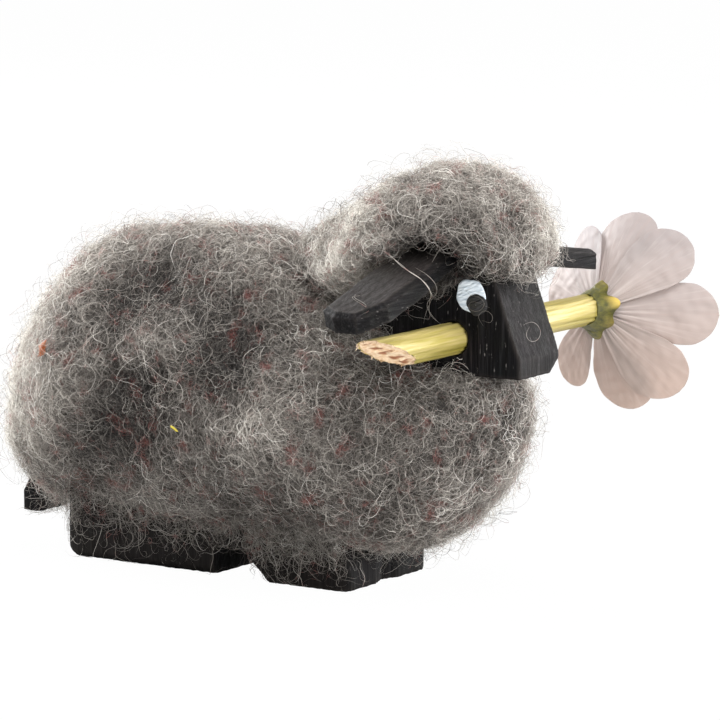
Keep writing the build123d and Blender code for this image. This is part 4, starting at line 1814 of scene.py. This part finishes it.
        round_rim = np.sqrt(np.clip(1 - share**6, 0, 1))
        edge = front - 0.18
        back, front = edge + (back - edge) * round_rim, edge + (front - edge) * round_rim
        tone = np.clip(share * 1.5 - 0.65, 0, 1) * ripe[None]
        height, radius, tone = (
            np.concatenate([out, home[::-1][1:]])
            for out, home in ((back, front), (radius, radius), (tone, tone))
        )
        faces = grid_faces(2 * rows - 1, columns, True)
        points = self.place(polar(radius, around, height) * (1.0, -1.0, 1.0))
        ring = mesh_object("calyx_dried", points, [faces], skin, {"edge": tone})
        settle(ring, Body.FLOWER, Slot.CALYX, "calyx")

    def florets(self) -> None:
        """Builds the florets: a dome of tiny buds, set in the spiral that a flower head grows in."""
        skin = PlantSkin("dried_florets_yellow", "#8a6a22", "#d2ae4c", "#5b3f16", 0.2, 0.5).make()
        rng = np.random.default_rng(97)
        corner = self.local("florets").reshape(-1, 3)
        base, top = corner[:, 2].min(), corner[:, 2].max()
        size = np.abs(corner[:, :2]).max()
        number = np.arange(self.bud_count)
        turn = number * GOLDEN_ANGLE
        share = np.sqrt((number + 0.5) / self.bud_count)
        rows, columns = 9, 12
        lift = np.linspace(0.02, 1, rows)[:, None] * math.pi
        around = turns(columns)[None]
        bud = polar(np.sin(lift), around, np.cos(lift))
        bud[..., :2] *= 1 - 0.18 * np.cos(5 * around)[..., None] * (bud[..., 2:] > 0)
        bud = bud.reshape(-1, 3)
        points, tone, faces = [], [], []
        low = min(base + 0.9, top - 1.0)
        for index in number:
            radius = self.bud_radius * rng.uniform(0.85, 1.15)
            far = (size - radius) * share[index]
            height = low + (top - radius - low) * math.sqrt(max(1 - share[index] ** 2, 0.0))
            middle = np.array([far * math.cos(turn[index]), far * math.sin(turn[index]), height])
            shape = bud * radius * np.array([1, 1, 1.7])
            lean = 0.9 * share[index]
            shape[:, 0] += shape[:, 2] * lean * math.cos(turn[index])
            shape[:, 1] += shape[:, 2] * lean * math.sin(turn[index])
            points.append(middle + shape)
            tone.append(np.clip(0.6 - bud[:, 2] * 0.6, 0, 1))
            faces.append(grid_faces(rows, columns, True) + index * rows * columns)
        rings, spokes = 10, 48
        around = turns(spokes)
        ring = np.linspace(0.02, 1, rings)[:, None]
        seat = polar(size * ring, around, low + (top - low - 0.5) * np.sqrt(1 - ring**2))
        faces.append(grid_faces(rings, spokes, True) + self.bud_count * rows * columns)
        points.append(seat.reshape(-1, 3))
        tone.append(np.ones(rings * spokes))
        points, tone, faces = (np.concatenate(parts) for parts in (points, tone, faces))
        dome = mesh_object("florets_dried", self.place(points), [faces], skin, {"edge": tone})
        settle(dome, Body.FLOWER, Slot.FLORETS, "florets")

    def build(self) -> None:
        """Builds the whole flower."""
        self.stem()
        self.calyx()
        petal_skin = PetalSkin().make()
        for index in range(self.petal_count):
            self.petal(index, petal_skin)
        self.florets()


@dataclass
class Studio:
    """Camera, floor and lamps. Each lamp has a name, a place, a side and a strength in watts."""

    azimuth: float = 33.1
    elevation: float = 8.2
    distance: float = 494.0
    target: tuple[float, float, float] = (-1.75, 5.37, 26.0)
    lens: float = 200.0
    floor_size: float = 6000.0
    floor_colour: str = "#c4c4c4"
    floor_glow: float = 0.985
    world_strength: float = 0.7
    lamps: tuple[tuple[str, tuple[float, float, float], float, float], ...] = (
        ("key_softbox", (260.0, -180.0, 800.0), 500.0, 9.0),
        ("side_softbox", (680.0, -150.0, 220.0), 400.0, 4.5),
        ("rim_softbox", (-700.0, 120.0, 380.0), 600.0, 17.0),
        ("fill_softbox", (330.0, 560.0, 120.0), 400.0, 8.0),
    )

    def camera(self) -> None:
        """Sets the camera at the photograph's angle."""
        turn, lift = math.radians(self.azimuth), math.radians(self.elevation)
        back = Vector((math.sin(turn) * math.cos(lift), -math.cos(turn) * math.cos(lift), math.sin(lift)))
        right = Vector((math.cos(turn), math.sin(turn), 0))
        up = back.cross(right)
        data = bpy.data.cameras.new("photo_camera")
        data.lens = self.lens
        data.clip_start = 0.01
        data.clip_end = 50
        lens = bpy.data.objects.new("photo_camera", data)
        place = (Vector(self.target) + back * self.distance) * MM
        lens.matrix_world = Matrix.Translation(place) @ Matrix((right, up, back)).transposed().to_4x4()
        bpy.context.scene.collection.objects.link(lens)
        bpy.context.scene.camera = lens

    def floor(self) -> None:
        """Lays a pale floor that shows white and keeps the shadow."""
        material, tree = new_material("studio_floor_matt_white")
        seen = add_node(tree, "LightPath").outputs["Is Camera Ray"]
        share = add_node(tree, "Math", (seen, self.floor_glow), operation="MULTIPLY")
        matt = add_node(tree, "BsdfDiffuse", {"Color": linear(self.floor_colour)})
        glow = add_node(tree, "Emission", {"Color": WHITE, "Strength": 1.0})
        both = add_node(tree, "MixShader", (share, matt, glow))
        add_node(tree, "OutputMaterial", {"Surface": both})
        half = self.floor_size / 2
        corners = np.array([[-half, -half, 0], [half, -half, 0], [half, half, 0], [-half, half, 0]])
        plane = mesh_object("studio_floor", corners, [np.array([[0, 1, 2, 3]])], material)

    def world(self) -> None:
        """Gives an even white surround, seen as plain white."""
        world = bpy.data.worlds.new("studio")
        bpy.context.scene.world = world
        world.use_nodes = True
        tree = world.node_tree
        tree.nodes.clear()
        seen = add_node(tree, "LightPath").outputs["Is Camera Ray"]
        soft = add_node(tree, "Background", {"Color": WHITE, "Strength": self.world_strength})
        white = add_node(tree, "Background", {"Color": WHITE, "Strength": 1.0})
        both = add_node(tree, "MixShader", (seen, soft, white))
        add_node(tree, "OutputWorld", {"Surface": both}, is_active_output=True)

    def lamp(self, name: str, place: tuple[float, float, float], size: float, strength: float) -> None:
        """Hangs one soft box that faces the sheep.

        Args:
            name: The lamp's name.
            place: Where it hangs, in millimetres.
            size: Its side.
            strength: Its light in watts.
        """
        data = bpy.data.lights.new(name, "AREA")
        data.energy = strength
        data.size = size * MM
        lamp = bpy.data.objects.new(name, data)
        at = Vector(place) * MM
        aim = (Vector(self.target) * MM - at).to_track_quat("-Z", "Y")
        lamp.matrix_world = Matrix.Translation(at) @ aim.to_matrix().to_4x4()
        bpy.context.scene.collection.objects.link(lamp)

    def build(self) -> None:
        """Sets up the whole studio."""
        self.camera()
        self.floor()
        self.world()
        for name, place, size, strength in self.lamps:
            self.lamp(name, place, size, strength)
        bpy.context.scene.view_settings.view_transform = "Standard"


def main() -> None:
    """Builds the scene piece by piece."""
    logging.basicConfig(level=logging.INFO, format="%(name)s: %(message)s")
    Studio().build()
    measures = Measures()
    WoodenBlocks(measures).build()
    Eyes().build()
    Flower(measures).build()
    Fleece(measures).build()


if __name__ == "__main__":
    main()
